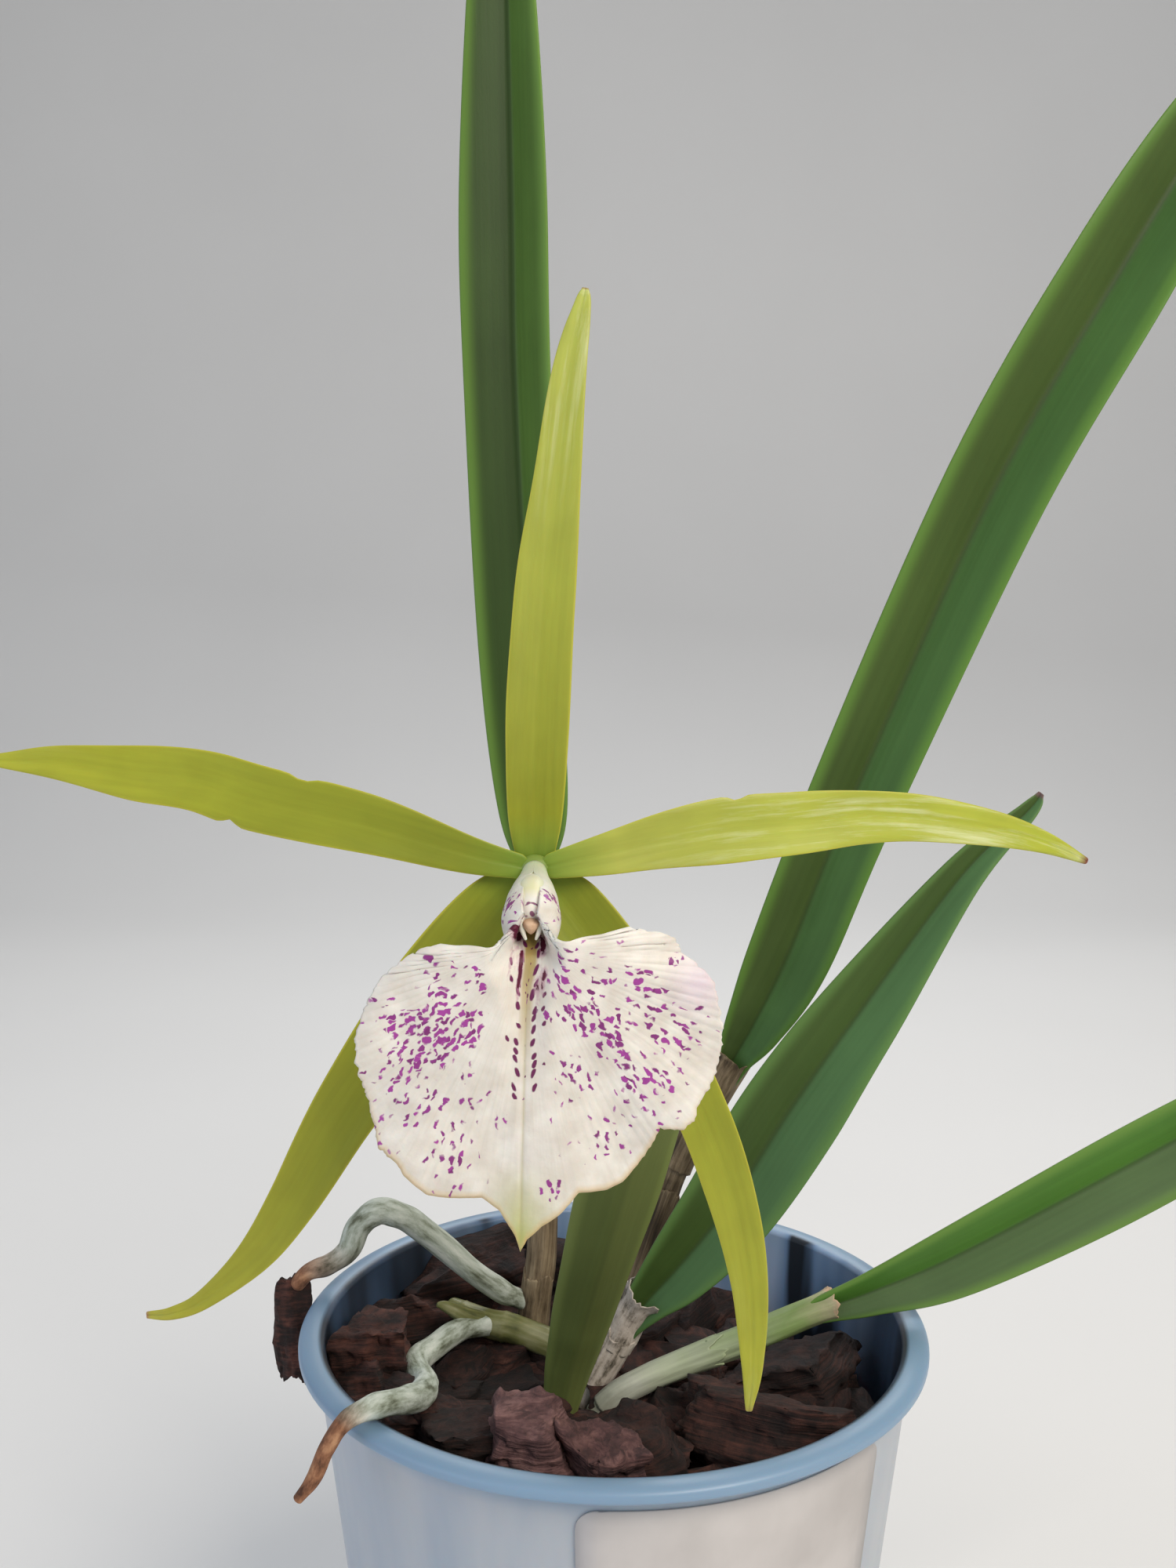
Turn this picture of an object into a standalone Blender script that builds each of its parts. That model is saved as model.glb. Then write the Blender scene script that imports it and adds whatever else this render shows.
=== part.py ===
"""Potted cattleya orchid in flower, in its plastic pot of bark.

Metres, +Z up. The origin is the middle of the pot's flat base, and the flower faces -Y.
Long thin pieces are given by stations: rows of (x, y, z, half width or radius) along their middle,
with a smooth curve through them.
"""

import math
import random

import bmesh
import bpy
import numpy as np
from mathutils import Matrix, Vector

# Pot
POT_HEIGHT = 0.095
RIM_RADIUS = 0.0525
RIM_FACE = 0.0012
RIM_ROUND = 0.0007
RIM_DEPTH = 0.0035
WALL_RADIUS_TOP = 0.0494
BASE_RADIUS = 0.038
BASE_ROUND = 0.001
WALL = 0.0013
FLOOR = 0.002
FLOOR_ROUND = 0.0015
POT_SEGMENTS = 48
DRAIN_HOLES = 6
DRAIN_RADIUS = 0.004
DRAIN_CIRCLE = 0.024

# Label on the pot wall
LABEL_TOP = 0.0903
LABEL_BOTTOM = 0.0363
LABEL_LEFT = math.radians(-7)
LABEL_RIGHT = math.radians(52)
LABEL_THICKNESS = 0.0005

# Bark
BARK_TOP = 0.080
BARK_SHOULDER = 0.004
CHIP_COUNT = 48
CHIP_CORNERS = 8
CHIP_SEED = 9
CHIP_TILT = 0.35
CHIP_LIFT = 0.003
CHIP_LENGTHS = (0.011, 0.017)
CHIP_WIDTHS = (0.007, 0.011)
CHIP_HEIGHTS = (0.005, 0.008)
CORNER_JITTER = 0.4
CORNER_REACH = (0.9, 1.15)
GOLDEN_ANGLE = math.pi * (3 - math.sqrt(5))

# Gap left between pieces that touch, and distance at which points are merged
GAP = 0.0003
MERGE = 0.00001

# Flower
FLOWER_CENTRE = Vector((-0.0107, -0.0610, 0.1798))
TEPAL_THICKNESS = 0.0008
LEAF_THICKNESS = 0.0024
LIP_THICKNESS = 0.0007

# Claw of the lip, which nods, and the lip's blade at its end
CLAW_NOD = math.radians(12.5)
CLAW_SET_BACK = 0.0016
CLAW_LENGTH = 0.020
CLAW_SHARE = 0.28
CLAW_RADIUS_BACK = 0.0018
CLAW_RADIUS_FRONT = 0.0031
CLAW_WRAP = math.radians(145)
THROAT_FILLET = 0.0024
THROAT_SHARE = 0.22
BLADE_TILT = math.radians(5)
BLADE_LEAN = math.radians(-1.5)
LIP_WRAP_LEFT = math.radians(86.5)
LIP_WRAP_RIGHT = math.radians(99.5)
LIP_DROOP = 0.0022
GROOVE_DEPTH = 0.0011
GROOVE_WIDTH = 0.0022
RIPPLE_HEIGHT = 0.0006
RIPPLE_COUNT = 11
LIP_ROWS = 12
LIP_SECTORS = 40

# Lip outline round the throat: angle in degrees from the tip, negative to the left, and radius
LIP_OUTLINE = [
    (-88.3, 0.0062),
    (-86.3, 0.0096),
    (-83.4, 0.0120),
    (-79.0, 0.0138),
    (-72.7, 0.0166),
    (-66.9, 0.0187),
    (-58.6, 0.0215),
    (-53.1, 0.0228),
    (-43.7, 0.0247),
    (-37.9, 0.0265),
    (-34.4, 0.0280),
    (-29.0, 0.0283),
    (-26.0, 0.0291),
    (-20.3, 0.0300),
    (-16.4, 0.0297),
    (-8.7, 0.0289),
    (-4.5, 0.0301),
    (-1.2, 0.0326),
    (0.0, 0.0347),
    (1.2, 0.0331),
    (4.2, 0.0314),
    (8.0, 0.0301),
    (12.6, 0.0280),
    (18.5, 0.0288),
    (22.5, 0.0287),
    (29.8, 0.0269),
    (36.7, 0.0249),
    (40.2, 0.0264),
    (44.2, 0.0267),
    (46.7, 0.0258),
    (55.3, 0.0252),
    (63.8, 0.0238),
    (71.2, 0.0222),
    (79.1, 0.0205),
    (83.7, 0.0182),
    (86.3, 0.0167),
    (93.3, 0.0156),
    (96.0, 0.0132),
    (100.2, 0.0103),
]

# Column inside the claw: shares of the room there
COLUMN_RADIUS = 0.8
COLUMN_RISE = 0.2
COLUMN_REACH = 0.85
CAP_RADIUS = 0.0014

# Tepals: stations from the flower's centre
DORSAL_SEPAL = [
    (0.0000, 0.0013, 0.0019, 0.0020),
    (0.0000, 0.0012, 0.0080, 0.0036),
    (0.0003, 0.0022, 0.0180, 0.0039),
    (0.0012, 0.0040, 0.0335, 0.0038),
    (0.0026, 0.0050, 0.0470, 0.0030),
    (0.0043, 0.0060, 0.0615, 0.0021),
    (0.0058, 0.0065, 0.0690, 0.0011),
    (0.0062, 0.0066, 0.0712, 0.0004),
]
PETAL_LEFT = [
    (-0.0017, -0.0004, 0.0001, 0.0012),
    (-0.0081, -0.0003, 0.0018, 0.0023),
    (-0.0200, 0.0005, 0.0053, 0.0032),
    (-0.0338, 0.0015, 0.0084, 0.0039),
    (-0.0417, 0.0025, 0.0106, 0.0036),
    (-0.0500, 0.0036, 0.0115, 0.0031),
    (-0.0600, 0.0048, 0.0127, 0.0021),
    (-0.0670, 0.0058, 0.0129, 0.0010),
    (-0.0708, 0.0065, 0.0130, 0.0004),
]
PETAL_RIGHT = [
    (0.0017, -0.0004, 0.0001, 0.0012),
    (0.0080, -0.0003, 0.0017, 0.0025),
    (0.0156, 0.0005, 0.0033, 0.0034),
    (0.0231, 0.0010, 0.0046, 0.0041),
    (0.0319, 0.0015, 0.0054, 0.0039),
    (0.0405, 0.0025, 0.0061, 0.0033),
    (0.0483, 0.0035, 0.0058, 0.0029),
    (0.0570, 0.0046, 0.0045, 0.0023),
    (0.0640, 0.0056, 0.0026, 0.0014),
    (0.0700, 0.0065, 0.0000, 0.0004),
]
SEPAL_LEFT = [
    (-0.0016, 0.0013, -0.0013, 0.0015),
    (-0.0065, 0.0002, -0.0050, 0.0033),
    (-0.0141, -0.0028, -0.0152, 0.0043),
    (-0.0222, -0.0048, -0.0278, 0.0041),
    (-0.0290, -0.0055, -0.0395, 0.0031),
    (-0.0339, -0.0050, -0.0465, 0.0022),
    (-0.0404, -0.0040, -0.0525, 0.0012),
    (-0.0446, -0.0035, -0.0546, 0.0008),
    (-0.0480, -0.0030, -0.0551, 0.0004),
]
SEPAL_RIGHT = [
    (0.0016, 0.0013, -0.0013, 0.0015),
    (0.0056, 0.0002, -0.0050, 0.0033),
    (0.0128, -0.0028, -0.0146, 0.0036),
    (0.0190, -0.0048, -0.0264, 0.0033),
    (0.0235, -0.0055, -0.0380, 0.0030),
    (0.0261, -0.0048, -0.0500, 0.0023),
    (0.0267, -0.0040, -0.0606, 0.0014),
    (0.0264, -0.0035, -0.0672, 0.0004),
]

# Stems: stations in the object's own frame, from the bark up
CANE_UPRIGHT = [
    (-0.0146, 0.0197, 0.0740, 0.0024),
    (-0.0142, 0.0197, 0.0860, 0.0025),
    (-0.0125, 0.0203, 0.1030, 0.0023),
    (-0.0131, 0.0230, 0.1400, 0.0024),
    (-0.0139, 0.0258, 0.1660, 0.0026),
]
CANE_LONG_RIGHT = [
    (0.0010, 0.0228, 0.0740, 0.0024),
    (0.0034, 0.0228, 0.0860, 0.0024),
    (0.0100, 0.0230, 0.1060, 0.0023),
    (0.0145, 0.0237, 0.1168, 0.0024),
    (0.0215, 0.0240, 0.1310, 0.0032),
]
CANE_MID_RIGHT = [
    (-0.0062, 0.0020, 0.0745, 0.0022),
    (-0.0030, 0.0010, 0.0830, 0.0025),
    (0.0008, 0.0002, 0.0905, 0.0026),
    (0.0040, -0.0008, 0.0965, 0.0024),
]
CANE_LOW_RIGHT = [
    (-0.0040, -0.0050, 0.0790, 0.0020),
    (0.0020, -0.0046, 0.0838, 0.0022),
    (0.0110, -0.0032, 0.0874, 0.0025),
    (0.0222, -0.0030, 0.0918, 0.0027),
    (0.0345, -0.0021, 0.0966, 0.0029),
]
CANE_FRONT = [
    (-0.0095, -0.0060, 0.0740, 0.0018),
    (-0.0088, -0.0062, 0.0800, 0.0019),
    (-0.0082, -0.0070, 0.0860, 0.0020),
]
FLOWER_STALK = [
    (-0.0138, 0.0238, 0.1672, 0.0011),
    (-0.0134, 0.0214, 0.1712, 0.0011),
    (-0.0128, 0.0140, 0.1790, 0.0011),
    (-0.0118, -0.0100, 0.1870, 0.0011),
    (-0.0111, -0.0350, 0.1868, 0.0014),
    (-0.0108, -0.0520, 0.1826, 0.0019),
    (-0.0108, -0.0560, 0.1812, 0.0019),
    (-0.0107, -0.0583, 0.1805, 0.0017),
    (-0.0107, -0.0592, 0.1801, 0.0011),
    (-0.0107, -0.0622, 0.1797, 0.0011),
]

# Leaves: stations from the top of their cane to their tip
LEAF_UPRIGHT = [
    (-0.0139, 0.0270, 0.1666, 0.0026),
    (-0.0143, 0.0268, 0.1790, 0.0066),
    (-0.0164, 0.0275, 0.2049, 0.0076),
    (-0.0189, 0.0295, 0.2547, 0.0079),
    (-0.0195, 0.0310, 0.2864, 0.0080),
    (-0.0199, 0.0330, 0.3249, 0.0062),
    (-0.0200, 0.0345, 0.3480, 0.0034),
    (-0.0200, 0.0350, 0.3600, 0.0007),
]
LEAF_LONG_RIGHT = [
    (0.0219, 0.0240, 0.1316, 0.0029),
    (0.0256, 0.0240, 0.1385, 0.0055),
    (0.0320, 0.0240, 0.1527, 0.0073),
    (0.0433, 0.0240, 0.1813, 0.0080),
    (0.0679, 0.0260, 0.2363, 0.0091),
    (0.0900, 0.0274, 0.2752, 0.0094),
    (0.1060, 0.0285, 0.3010, 0.0075),
    (0.1180, 0.0295, 0.3180, 0.0040),
    (0.1240, 0.0300, 0.3260, 0.0008),
]
LEAF_MID_RIGHT = [
    (0.0044, -0.0009, 0.0971, 0.0024),
    (0.0107, -0.0010, 0.1042, 0.0055),
    (0.0190, -0.0008, 0.1155, 0.0073),
    (0.0288, 0.0000, 0.1311, 0.0079),
    (0.0400, 0.0013, 0.1465, 0.0067),
    (0.0579, 0.0030, 0.1696, 0.0034),
    (0.0694, 0.0040, 0.1804, 0.0016),
    (0.0720, 0.0040, 0.1836, 0.0005),
]
LEAF_LOW_RIGHT = [
    (0.0351, -0.0020, 0.0968, 0.0027),
    (0.0436, -0.0010, 0.0990, 0.0040),
    (0.0583, 0.0010, 0.1042, 0.0060),
    (0.0858, 0.0050, 0.1167, 0.0073),
    (0.1050, 0.0075, 0.1262, 0.0070),
    (0.1250, 0.0100, 0.1370, 0.0046),
    (0.1370, 0.0115, 0.1440, 0.0008),
]
LEAF_FRONT = [
    (-0.0081, -0.0072, 0.0866, 0.0024),
    (-0.0062, -0.0095, 0.0940, 0.0043),
    (-0.0040, -0.0140, 0.1044, 0.0055),
    (0.0002, -0.0245, 0.1240, 0.0064),
    (0.0030, -0.0305, 0.1360, 0.0061),
    (0.0058, -0.0345, 0.1470, 0.0050),
    (0.0077, -0.0380, 0.1620, 0.0006),
]

# Rhizome and roots
RHIZOME = [
    (-0.0300, 0.0192, 0.0880, 0.0013),
    (-0.0268, 0.0176, 0.0868, 0.0020),
    (-0.0222, 0.0152, 0.0860, 0.0025),
    (-0.0170, 0.0140, 0.0852, 0.0026),
    (-0.0090, 0.0130, 0.0820, 0.0026),
    (-0.0020, 0.0110, 0.0770, 0.0024),
]
ROOT_ARCH = [
    (-0.0169, 0.0188, 0.0889, 0.0017),
    (-0.0202, 0.0178, 0.0909, 0.0020),
    (-0.0256, 0.0162, 0.0956, 0.0021),
    (-0.0331, 0.0140, 0.1033, 0.0022),
    (-0.0377, 0.0122, 0.1073, 0.0023),
    (-0.0415, 0.0110, 0.1085, 0.0023),
    (-0.0448, 0.0105, 0.1062, 0.0022),
    (-0.0466, 0.0100, 0.1020, 0.0021),
    (-0.0500, 0.0095, 0.0995, 0.0018),
    (-0.0537, 0.0092, 0.0980, 0.0015),
    (-0.0562, 0.0091, 0.0953, 0.0013),
]
ROOT_OVER_RIM = [
    (-0.0262, 0.0118, 0.0868, 0.0020),
    (-0.0304, 0.0045, 0.0872, 0.0021),
    (-0.0331, -0.0034, 0.0878, 0.0022),
    (-0.0306, -0.0120, 0.0890, 0.0021),
    (-0.0303, -0.0200, 0.0912, 0.0022),
    (-0.0318, -0.0280, 0.0946, 0.0021),
    (-0.0350, -0.0345, 0.0972, 0.0018),
    (-0.0388, -0.0378, 0.0968, 0.0014),
    (-0.0414, -0.0392, 0.0936, 0.0012),
    (-0.0430, -0.0405, 0.0900, 0.0011),
    (-0.0455, -0.0415, 0.0868, 0.0007),
]
ROOT_CHIP = (Vector((-0.0566, 0.0096, 0.0882)), Vector((0.0058, 0.0075, 0.0160)))

# Large chips that stand out on top of the bark: centre and size
LARGE_CHIPS = [
    (Vector((-0.0130, -0.0210, 0.0820)), Vector((0.0210, 0.0150, 0.0080))),
    (Vector((0.0040, -0.0270, 0.0810)), Vector((0.0160, 0.0120, 0.0090))),
    (Vector((0.0200, -0.0180, 0.0815)), Vector((0.0230, 0.0150, 0.0090))),
    (Vector((0.0330, 0.0080, 0.0810)), Vector((0.0180, 0.0200, 0.0090))),
    (Vector((-0.0300, 0.0250, 0.0820)), Vector((0.0170, 0.0130, 0.0090))),
]


def clear_scene():
    for obj in list(bpy.data.objects):
        bpy.data.objects.remove(obj, do_unlink=True)


def collection(name):
    made = bpy.data.collections.new(name)
    bpy.context.scene.collection.children.link(made)
    return made


def material(name, colour, roughness, metallic=0.0):
    made = bpy.data.materials.new(name)
    made.use_nodes = True
    shader = made.node_tree.nodes["Principled BSDF"]
    shader.inputs["Base Color"].default_value = (*colour, 1)
    shader.inputs["Roughness"].default_value = roughness
    shader.inputs["Metallic"].default_value = metallic
    made.diffuse_color = (*colour, 1)
    return made


def add_object(name, data, mat, group):
    obj = bpy.data.objects.new(name, data)
    obj.data.materials.append(mat)
    group.objects.link(obj)
    return obj


def mesh_from(name, bm):
    bmesh.ops.recalc_face_normals(bm, faces=bm.faces)
    mesh = bpy.data.meshes.new(name)
    bm.to_mesh(mesh)
    bm.free()
    return mesh


def apply_modifiers(obj):
    """Makes the evaluated mesh the object's own."""
    bpy.context.view_layer.update()
    graph = bpy.context.evaluated_depsgraph_get()
    obj.data = bpy.data.meshes.new_from_object(obj.evaluated_get(graph))
    obj.modifiers.clear()


def curve_through(stations, steps):
    """Catmull-Rom rows through the stations, evenly shared between them."""
    rows = np.array(stations, float)
    ends = np.vstack([2 * rows[0] - rows[1], rows, 2 * rows[-1] - rows[-2]])
    found = []
    for place in np.linspace(0, len(rows) - 1, steps + 1):
        i = min(int(place), len(rows) - 2)
        t = place - i
        a, b, c, d = ends[i : i + 4]
        bend = (2 * a - 5 * b + 4 * c - d) * t**2 + (3 * b - a - 3 * c + d) * t**3
        found.append(b + ((c - a) * t + bend) / 2)
    return np.array(found)


def turned(name, profile, segments, mat, group):
    """Solid of revolution. The profile is (radius, height), and runs down its outer side."""
    bm = bmesh.new()
    verts = [bm.verts.new((radius, 0, height)) for radius, height in profile]
    for first, second in zip(verts, verts[1:]):
        bm.edges.new((first, second))
    mesh = bpy.data.meshes.new(name)
    bm.to_mesh(mesh)
    bm.free()
    obj = add_object(name, mesh, mat, group)
    screw = obj.modifiers.new("Screw", "SCREW")
    screw.steps = segments
    screw.render_steps = segments
    screw.use_merge_vertices = True
    screw.merge_threshold = MERGE
    screw.use_smooth_shade = True
    return obj


def tube(name, stations, steps, mat, group, clearance=0.0):
    """Round stem or root with filled ends, thicker or thinner as its stations say."""
    curve = bpy.data.curves.new(name, "CURVE")
    curve.dimensions = "3D"
    curve.bevel_depth = 1.0
    curve.bevel_resolution = 2
    curve.use_fill_caps = True
    rows = curve_through(stations, steps)
    spline = curve.splines.new("POLY")
    spline.points.add(len(rows) - 1)
    for point, (x, y, z, radius) in zip(spline.points, rows):
        point.co = (x, y, z, 1)
        point.radius = radius + clearance
    return add_object(name, curve, mat, group)


def blade(name, stations, shape, mat, group):
    """Leaf or tepal with its upper face towards shape["face"], and its cross-section bent.

    shape["fold"] is a sharp V, and shape["cup"] a round trough, as shares of the half width.
    shape["turn"] turns the blade about its own middle line. shape["wave"] ripples its edges.
    """
    rows = curve_through(stations, shape["steps"])
    tangents = np.gradient(rows[:, :3], axis=0)
    face = Vector(shape["face"])
    turn = math.radians(shape.get("turn", 0))
    fold = shape.get("fold", 0.0)
    cup = shape.get("cup", 0.0)
    wave = shape.get("wave", 0.0)
    bm = bmesh.new()
    bmesh.ops.create_grid(bm, x_segments=shape["steps"], y_segments=shape["cells"], size=0.5)
    for vert in bm.verts:
        along = round((vert.co.x + 0.5) * shape["steps"])
        side = 2 * vert.co.y
        middle = Vector(rows[along, :3])
        half = float(rows[along, 3]) / math.cos(turn)
        tangent = Vector(tangents[along]).normalized()
        across = tangent.cross(face).normalized()
        normal = across.cross(tangent)
        middle -= across * half * fold * math.sin(turn)
        turned_across = across * math.cos(turn) - normal * math.sin(turn)
        turned_normal = normal * math.cos(turn) + across * math.sin(turn)
        lift = fold * abs(side) + cup * side**2
        lift += wave * side**3 * math.sin(shape.get("waves", 3) * math.tau * along / shape["steps"])
        vert.co = middle + half * (turned_across * side + turned_normal * lift)
    bmesh.ops.triangulate(bm, faces=bm.faces)
    obj = add_object(name, mesh_from(name, bm), mat, group)
    obj.data.shade_smooth()
    solidify = obj.modifiers.new("Solidify", "SOLIDIFY")
    solidify.thickness = shape["thickness"]
    solidify.offset = 0
    return obj


def wall_radius(height):
    """Outer radius of the pot wall, which tapers to the base."""
    share = height / (POT_HEIGHT - RIM_DEPTH)
    return BASE_RADIUS + (WALL_RADIUS_TOP - BASE_RADIUS) * share


def pot(mat, group, cutters):
    """Thin wall with a rim that stands out like a flange, over a flat floor with drain holes."""
    under_rim = POT_HEIGHT - RIM_DEPTH
    mouth = wall_radius(under_rim) - WALL
    profile = [
        (0, FLOOR),
        (wall_radius(FLOOR) - WALL - FLOOR_ROUND, FLOOR),
        (wall_radius(FLOOR) - WALL, FLOOR + FLOOR_ROUND),
        (mouth, under_rim),
        (mouth, POT_HEIGHT - RIM_ROUND),
        (mouth + RIM_ROUND, POT_HEIGHT),
        (RIM_RADIUS - RIM_ROUND, POT_HEIGHT),
        (RIM_RADIUS, POT_HEIGHT - RIM_ROUND),
        (RIM_RADIUS, POT_HEIGHT - RIM_ROUND - RIM_FACE),
        (wall_radius(under_rim), under_rim),
        (wall_radius(BASE_ROUND), BASE_ROUND),
        (BASE_RADIUS - BASE_ROUND, 0),
        (0, 0),
    ]
    obj = turned("pot", profile, POT_SEGMENTS, mat, group)
    for index in range(DRAIN_HOLES):
        angle = math.tau * (index + 0.5) / DRAIN_HOLES
        bm = bmesh.new()
        place = Matrix.Translation((DRAIN_CIRCLE * math.cos(angle), DRAIN_CIRCLE * math.sin(angle), 0))
        bmesh.ops.create_cone(
            bm,
            cap_ends=True,
            segments=12,
            radius1=DRAIN_RADIUS,
            radius2=DRAIN_RADIUS,
            depth=4 * FLOOR,
            matrix=place,
        )
        add_cutter(f"drain_{index}", mesh_from("drain", bm), mat, cutters)
    cut = obj.modifiers.new("Drain holes", "BOOLEAN")
    cut.operand_type = "COLLECTION"
    cut.collection = cutters
    return obj


def add_cutter(name, mesh, mat, group):
    obj = add_object(name, mesh, mat, group)
    obj.hide_render = True
    obj.display_type = "WIRE"
    return obj


def label(mat, group):
    """Sheet bent round the tapering wall."""
    bm = bmesh.new()
    bmesh.ops.create_grid(bm, x_segments=12, y_segments=2, size=0.5)
    stand_off = GAP + LABEL_THICKNESS / 2
    for vert in bm.verts:
        angle = LABEL_LEFT + (LABEL_RIGHT - LABEL_LEFT) * (vert.co.x + 0.5)
        height = LABEL_BOTTOM + (LABEL_TOP - LABEL_BOTTOM) * (vert.co.y + 0.5)
        radius = wall_radius(height) + stand_off
        vert.co = (radius * math.sin(angle), -radius * math.cos(angle), height)
    bmesh.ops.triangulate(bm, faces=bm.faces)
    obj = add_object("label", mesh_from("label", bm), mat, group)
    solidify = obj.modifiers.new("Solidify", "SOLIDIFY")
    solidify.thickness = LABEL_THICKNESS
    solidify.offset = 0
    return obj


def chip_mesh(draw, centre, size):
    """Angular chip of bark: the hull of a few points on a flat, turned ellipsoid."""
    bm = bmesh.new()
    heading = Matrix.Rotation(draw.uniform(0, math.tau), 3, "Z")
    turn = heading @ Matrix.Rotation(draw.uniform(-CHIP_TILT, CHIP_TILT), 3, "X")
    for index in range(CHIP_CORNERS):
        height = 1 - 2 * (index + 0.5) / CHIP_CORNERS
        angle = index * GOLDEN_ANGLE + draw.uniform(-CORNER_JITTER, CORNER_JITTER)
        ring = math.sqrt(1 - height**2)
        corner = Vector((ring * math.cos(angle), ring * math.sin(angle), height))
        corner *= draw.uniform(*CORNER_REACH)
        place = centre + turn @ Vector(a * b / 2 for a, b in zip(corner, size))
        bm.verts.new(place)
    bmesh.ops.convex_hull(bm, input=bm.verts)
    return bm


def keep_inside_pot(bm):
    for vert in bm.verts:
        room = wall_radius(vert.co.z) - WALL - 2 * GAP
        out = math.hypot(vert.co.x, vert.co.y)
        if out > room:
            vert.co.x *= room / out
            vert.co.y *= room / out


def bark_fill(mat, group, cutters):
    """Mass of bark with loose chips on top, and plain holes and grooves for what grows from it."""
    draw = random.Random(CHIP_SEED)
    inner = WALL + 2 * GAP
    shoulder = BARK_TOP - BARK_SHOULDER
    foot = FLOOR + 2 * FLOOR_ROUND
    reach = wall_radius(BARK_TOP) - inner - BARK_SHOULDER
    profile = [
        (0, BARK_TOP),
        (reach, BARK_TOP),
        (wall_radius(shoulder) - inner, shoulder),
        (wall_radius(foot) - inner, foot),
        (wall_radius(FLOOR) - inner - 2 * FLOOR_ROUND, FLOOR + GAP),
        (0, FLOOR + GAP),
    ]
    obj = turned("bark_fill", profile, POT_SEGMENTS // 2, mat, group)
    chips = collection("chips")
    places = []
    for index in range(CHIP_COUNT):
        spread = reach * math.sqrt((index + 0.5) / CHIP_COUNT)
        angle = index * GOLDEN_ANGLE
        height = BARK_TOP + draw.uniform(0, CHIP_LIFT)
        centre = Vector((spread * math.cos(angle), spread * math.sin(angle), height))
        size = Vector(draw.uniform(*span) for span in (CHIP_LENGTHS, CHIP_WIDTHS, CHIP_HEIGHTS))
        places.append((centre, size))
    for index, (centre, size) in enumerate(places + LARGE_CHIPS):
        bm = chip_mesh(draw, centre, size)
        keep_inside_pot(bm)
        add_object(f"chip_{index}", mesh_from("chip", bm), mat, chips)
    join = obj.modifiers.new("Chips", "BOOLEAN")
    join.operation = "UNION"
    join.operand_type = "COLLECTION"
    join.collection = chips
    apply_modifiers(obj)
    for chip in list(chips.objects):
        bpy.data.objects.remove(chip, do_unlink=True)
    bpy.data.collections.remove(chips)
    cut = obj.modifiers.new("Holes", "BOOLEAN")
    cut.operand_type = "COLLECTION"
    cut.collection = cutters
    return obj


def bark_on_root(mat, group):
    """One chip outside the rim, stuck to the end of the arching root."""
    centre, size = ROOT_CHIP
    bm = chip_mesh(random.Random(CHIP_SEED + 1), centre, size)
    return add_object("bark_on_root", mesh_from("bark_on_root", bm), mat, group)


def stems_and_roots(materials, group, holes):
    """Each stem and root, with a slightly wider cutter of the same run for its hole in the bark."""
    runs = [
        ("cane_upright", CANE_UPRIGHT, 10, "dry_sheath"),
        ("cane_long_right", CANE_LONG_RIGHT, 10, "dry_sheath"),
        ("cane_mid_right", CANE_MID_RIGHT, 6, "pale_sheath"),
        ("cane_low_right", CANE_LOW_RIGHT, 8, "pale_sheath"),
        ("cane_front", CANE_FRONT, 4, "green_stem"),
        ("rhizome", RHIZOME, 10, "green_stem"),
        ("root_arch", ROOT_ARCH, 20, "root"),
        ("root_over_rim", ROOT_OVER_RIM, 22, "root"),
    ]
    wide_runs = []
    for name, stations, steps, finish in runs:
        tube(name, stations, steps, materials[finish], group)
        wide_runs.append(tube(f"{name}_hole", stations, steps, materials[finish], group, clearance=GAP))
    bpy.context.view_layer.update()
    graph = bpy.context.evaluated_depsgraph_get()
    for wide in wide_runs:
        mesh = bpy.data.meshes.new_from_object(wide.evaluated_get(graph))
        bm = bmesh.new()
        bm.from_mesh(mesh)
        bmesh.ops.remove_doubles(bm, verts=bm.verts, dist=MERGE)
        name = wide.name
        bpy.data.objects.remove(wide, do_unlink=True)
        add_cutter(name, mesh_from(name, bm), materials["bark"], holes)


def leaves(mat, group):
    common = {"cells": 4, "thickness": LEAF_THICKNESS}
    shapes = [
        ("leaf_upright", LEAF_UPRIGHT, {"face": (0, -1, 0), "fold": 0.7, "turn": -20, "steps": 18}),
        ("leaf_long_right", LEAF_LONG_RIGHT, {"face": (0, -1, 0), "fold": 0.7, "turn": -10, "steps": 18}),
        ("leaf_mid_right", LEAF_MID_RIGHT, {"face": (0, -1, 0), "fold": 0.65, "turn": -15, "steps": 16}),
        ("leaf_low_right", LEAF_LOW_RIGHT, {"face": (0, -1, 0.3), "fold": 0.6, "turn": 10, "steps": 14}),
        ("leaf_front", LEAF_FRONT, {"face": (0, -1, 0), "fold": -0.35, "turn": 10, "steps": 14}),
    ]
    for name, stations, shape in shapes:
        blade(name, stations, {**common, **shape}, mat, group)


def tepals(mat, group):
    common = {"cells": 4, "steps": 18, "thickness": TEPAL_THICKNESS, "face": (0, -1, 0.15)}
    shapes = [
        ("dorsal_sepal", DORSAL_SEPAL, {"cup": 0.18}),
        ("petal_left", PETAL_LEFT, {"cup": 0.16, "wave": 0.08}),
        ("petal_right", PETAL_RIGHT, {"cup": 0.16, "wave": 0.08}),
        ("lateral_sepal_left", SEPAL_LEFT, {"cup": 0.2}),
        ("lateral_sepal_right", SEPAL_RIGHT, {"cup": 0.2}),
    ]
    for name, offsets, shape in shapes:
        stations = [(*(FLOWER_CENTRE + Vector((x, y, z))), half) for x, y, z, half in offsets]
        blade(name, stations, {**common, **shape}, mat, group)


def tilted_axes(tilt):
    """Directions of a piece that faces forward and nods by tilt: forward, and up across it."""
    forward = Vector((0, -math.cos(tilt), -math.sin(tilt)))
    up = Vector((0, -math.sin(tilt), math.cos(tilt)))
    return forward, up


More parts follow.
